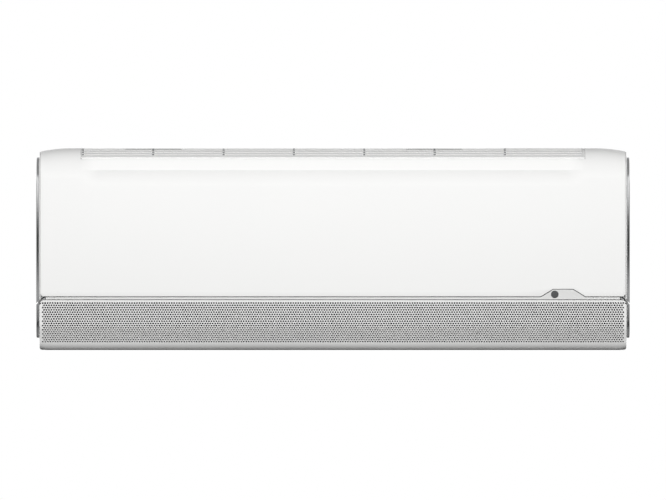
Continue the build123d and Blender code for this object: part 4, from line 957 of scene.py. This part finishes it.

# ------------------------------------------------------------ corners of the outlet panel
# The outlet panel's two upper corners are rounded, and a small dark grey piece is glued on the
# edge of each, to fill it up to the square corner. Its dark grey is painted shade for the gap
# round the corner, so that it reads as a dark joint there.
# Painted shade: this dark grey stands for the shadow in the gap round each corner.
corner_joint_shade = finish_of("painted corner joint shade", "#626364", "#5A5B5C", (0.6, 0.75), 1.2 * mm,
                        0.03 * mm)
filler_end, filler_top, filler_gap = 464.85, -80.95, 0.15
filler_face, filler_rear = -195.2 * mm, -194.5 * mm
corner_hub = Vector((sheet_half - corner_round, lid_edge.z - corner_round)) / mm
outline = [(filler_end, filler_top - filler_gap)]
for turn in range(90, -1, -15):
    out = Vector((math.cos(math.radians(turn)), math.sin(math.radians(turn))))
    spot = corner_hub + out * (corner_round / mm + filler_gap)
    outline.append((min(spot.x, filler_end), min(spot.y, filler_top)))
for side, name in ((1, "outlet_corner_right"), (-1, "outlet_corner_left")):
    filler = joint_piece(name, [(side * x, z) for x, z in outline], filler_face, filler_rear)
    dress(corner_joint_shade, filler)
    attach(filler, "deflector")

# ------------------------------------------------------------ inside of the outlet panel
# A frame stiffens the panel, and a thin black sheet is clamped between the two. Their black is
# painted shade for the dark inside the holes, and makes the holes read dark.
# Painted shade: frame and sheet are black so that the holes read dark.
frame_hole_shade = finish_of("painted hole shade on frame", "#17181A", "#1D1E20", (0.5, 0.62), 1.4 * mm,
                          0.02 * mm)
dress(frame_hole_shade, "deflector_frame")
sheet_hole_shade = finish_of("painted hole shade sheet", "#0E0F10", "#141516", (0.7, 0.85), 0.8 * mm,
                        0.05 * mm)
shade_sheet_half, shade_sheet_top, shade_sheet_past = 460.5 * mm, 2.5 * mm, 3 * mm
shade_sheet_wall, shade_sheet_gap = 0.5 * mm, 0.05 * mm
hole_shade_sheet = plain_band("outlet_hole_shade_sheet", shade_sheet_half, shade_sheet_top, field_low + shade_sheet_past, steps=60)
move_mesh((0, 0, -skin - shade_sheet_gap))
roll_to_lid(hole_shade_sheet)
thicken(shade_sheet_wall)
finish_mesh(recalculate=False)
dress(sheet_hole_shade, hole_shade_sheet)
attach(hole_shade_sheet, "deflector")

# ------------------------------------------------------------ trim rings
# A bright plated strip is clipped round each end cap. Its outer side is crowned and its front
# bows a little, and a 45 degree cut at the front lets the outlet panel take its part along.
ring_front, ring_rear, ring_low, ring_high = -189.5 * mm, -18.5 * mm, -140.5 * mm, 146 * mm
ring_middle = Vector((0, (ring_front + ring_rear) / 2, (ring_low + ring_high) / 2))
ring_corners = [(ring_front, ring_low, 24 * mm, 180), (ring_rear, ring_low, 24 * mm, 270),
                (ring_rear, ring_high, 24 * mm, 0), (ring_front, ring_high, 38 * mm, 90)]
ring_bow, ring_wide, ring_edge = 5 * mm, 7 * mm, 1.4 * mm
ring_base, ring_face = 465 * mm, 470 * mm
corner_steps, front_steps = 16, 48
cut_in, cut_out, cut_ahead, cut_below = 455 * mm, 475 * mm, -210 * mm, -200 * mm
split_y, split_x, split_z = -165 * mm, 459 * mm, -76 * mm


def ring_line(inset):
    """Side view of the ring: four rounded corners and a front that bows forwards."""
    points = []
    for y, z, radius, start in ring_corners:
        hub = Vector((0, y + math.copysign(radius, ring_middle.y - y),
                      z + math.copysign(radius, ring_middle.z - z)))
        for i in range(corner_steps + 1):
            points.append(on_circle(hub, radius - inset, start + 90 * i / corner_steps))
    low, high = points[0], points[-1]
    for i in range(1, front_steps):
        points.append(high + (low - high) * i / front_steps)
    reach = ring_middle.y - ring_front - ring_wide
    for point in points:
        share = (point.z - ring_middle.z) / ((ring_high - ring_low) / 2)
        ahead = max(0, min(1, (ring_middle.y - point.y) / reach))
        point.y -= ring_bow * (1 - share * share) * ahead
    return points


def ring_strip():
    """The right ring before it is cut: its face, drawn out along X, with rounded edges."""
    bpy.ops.object.select_all(action="DESELECT")
    outer, inner = ring_line(0), ring_line(ring_wide)
    count = len(outer)
    bpy.ops.mesh.primitive_circle_add(vertices=count, radius=0.1)
    bpy.ops.object.mode_set(mode="EDIT")
    bpy.ops.mesh.extrude_region_move(TRANSFORM_OT_translate={"value": (0, 0, 0)})
    bpy.ops.object.mode_set(mode="OBJECT")
    strip = bpy.context.object
    for i in range(count):
        for line, vertex in ((outer, i), (inner, i + count)):
            strip.data.vertices[vertex].co = (ring_base, line[i].y, line[i].z)
    edit_all()
    bpy.ops.mesh.extrude_region_move(
        TRANSFORM_OT_translate={"value": (ring_face - ring_base, 0, 0)})
    bpy.ops.mesh.select_all(action="SELECT")
    bpy.ops.mesh.remove_doubles(threshold=hair)
    bpy.ops.object.mode_set(mode="OBJECT")
    face_out()
    round_edges(ring_edge, 4)
    return strip


def lid_side_cutter(clear, lift):
    """A solid that covers what swings with the outlet panel at the right end, widened by clear,
    and with its 45 degree cut at the front raised by lift."""
    far = on_circle(lid_turn, disc_round + clear, lean)
    near = on_circle(lid_edge, clear, lean)
    share = (split_y - near.y) / (far.y - near.y)
    start = near + (far - near) * share
    side = [(split_y, cut_below), start.yz]
    side += [on_circle(lid_turn, disc_round + clear, lean - (lean + 90) * i / 30).yz
             for i in range(31)]
    side.append((lid_turn.y, cut_below))
    rear = plate_across(side[::-1], cut_in, cut_out)
    bpy.ops.object.select_all(action="DESELECT")
    bpy.ops.mesh.primitive_cube_add(size=1)
    ahead = bpy.context.object
    for vertex in ahead.data.vertices:
        x = cut_out if vertex.co.x > 0 else cut_in
        y = split_y + 0.1 * mm if vertex.co.y > 0 else cut_ahead
        z = split_z + lift - (x - split_x) if vertex.co.z > 0 else cut_below
        vertex.co = (x, y, z)
    take(rear)
    modify("BOOLEAN", operation="UNION", object=ahead, solver="EXACT")
    bpy.data.objects.remove(ahead)
    return rear


plated = finish_of("chrome plated ABS", "#E9EAEB", "#E4E5E6", (0.05, 0.09), 5 * mm, 0.002 * mm,
                   1.0)
for title, operation, cutter, body in (
        ("trim_ring", "DIFFERENCE", lid_side_cutter(clear=1.2 * mm, lift=1.6 * mm), "root"),
        ("outlet_trim", "INTERSECT", lid_side_cutter(clear=0, lift=-0.8 * mm), "deflector")):
    ring = ring_strip()
    ring.name = title + "_bright_right"
    modify("BOOLEAN", operation=operation, object=cutter, solver="EXACT")
    bpy.data.objects.remove(cutter)
    finish_mesh(40)
    twin = mirrored_copy(ring, title + "_bright_left")
    dress(plated, ring, twin)
    for piece in (ring, twin):
        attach(piece, body)
    if body == "root":
        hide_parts("trim_ring_right")
        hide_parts("trim_ring_left")
    else:
        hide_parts("deflector_trims")
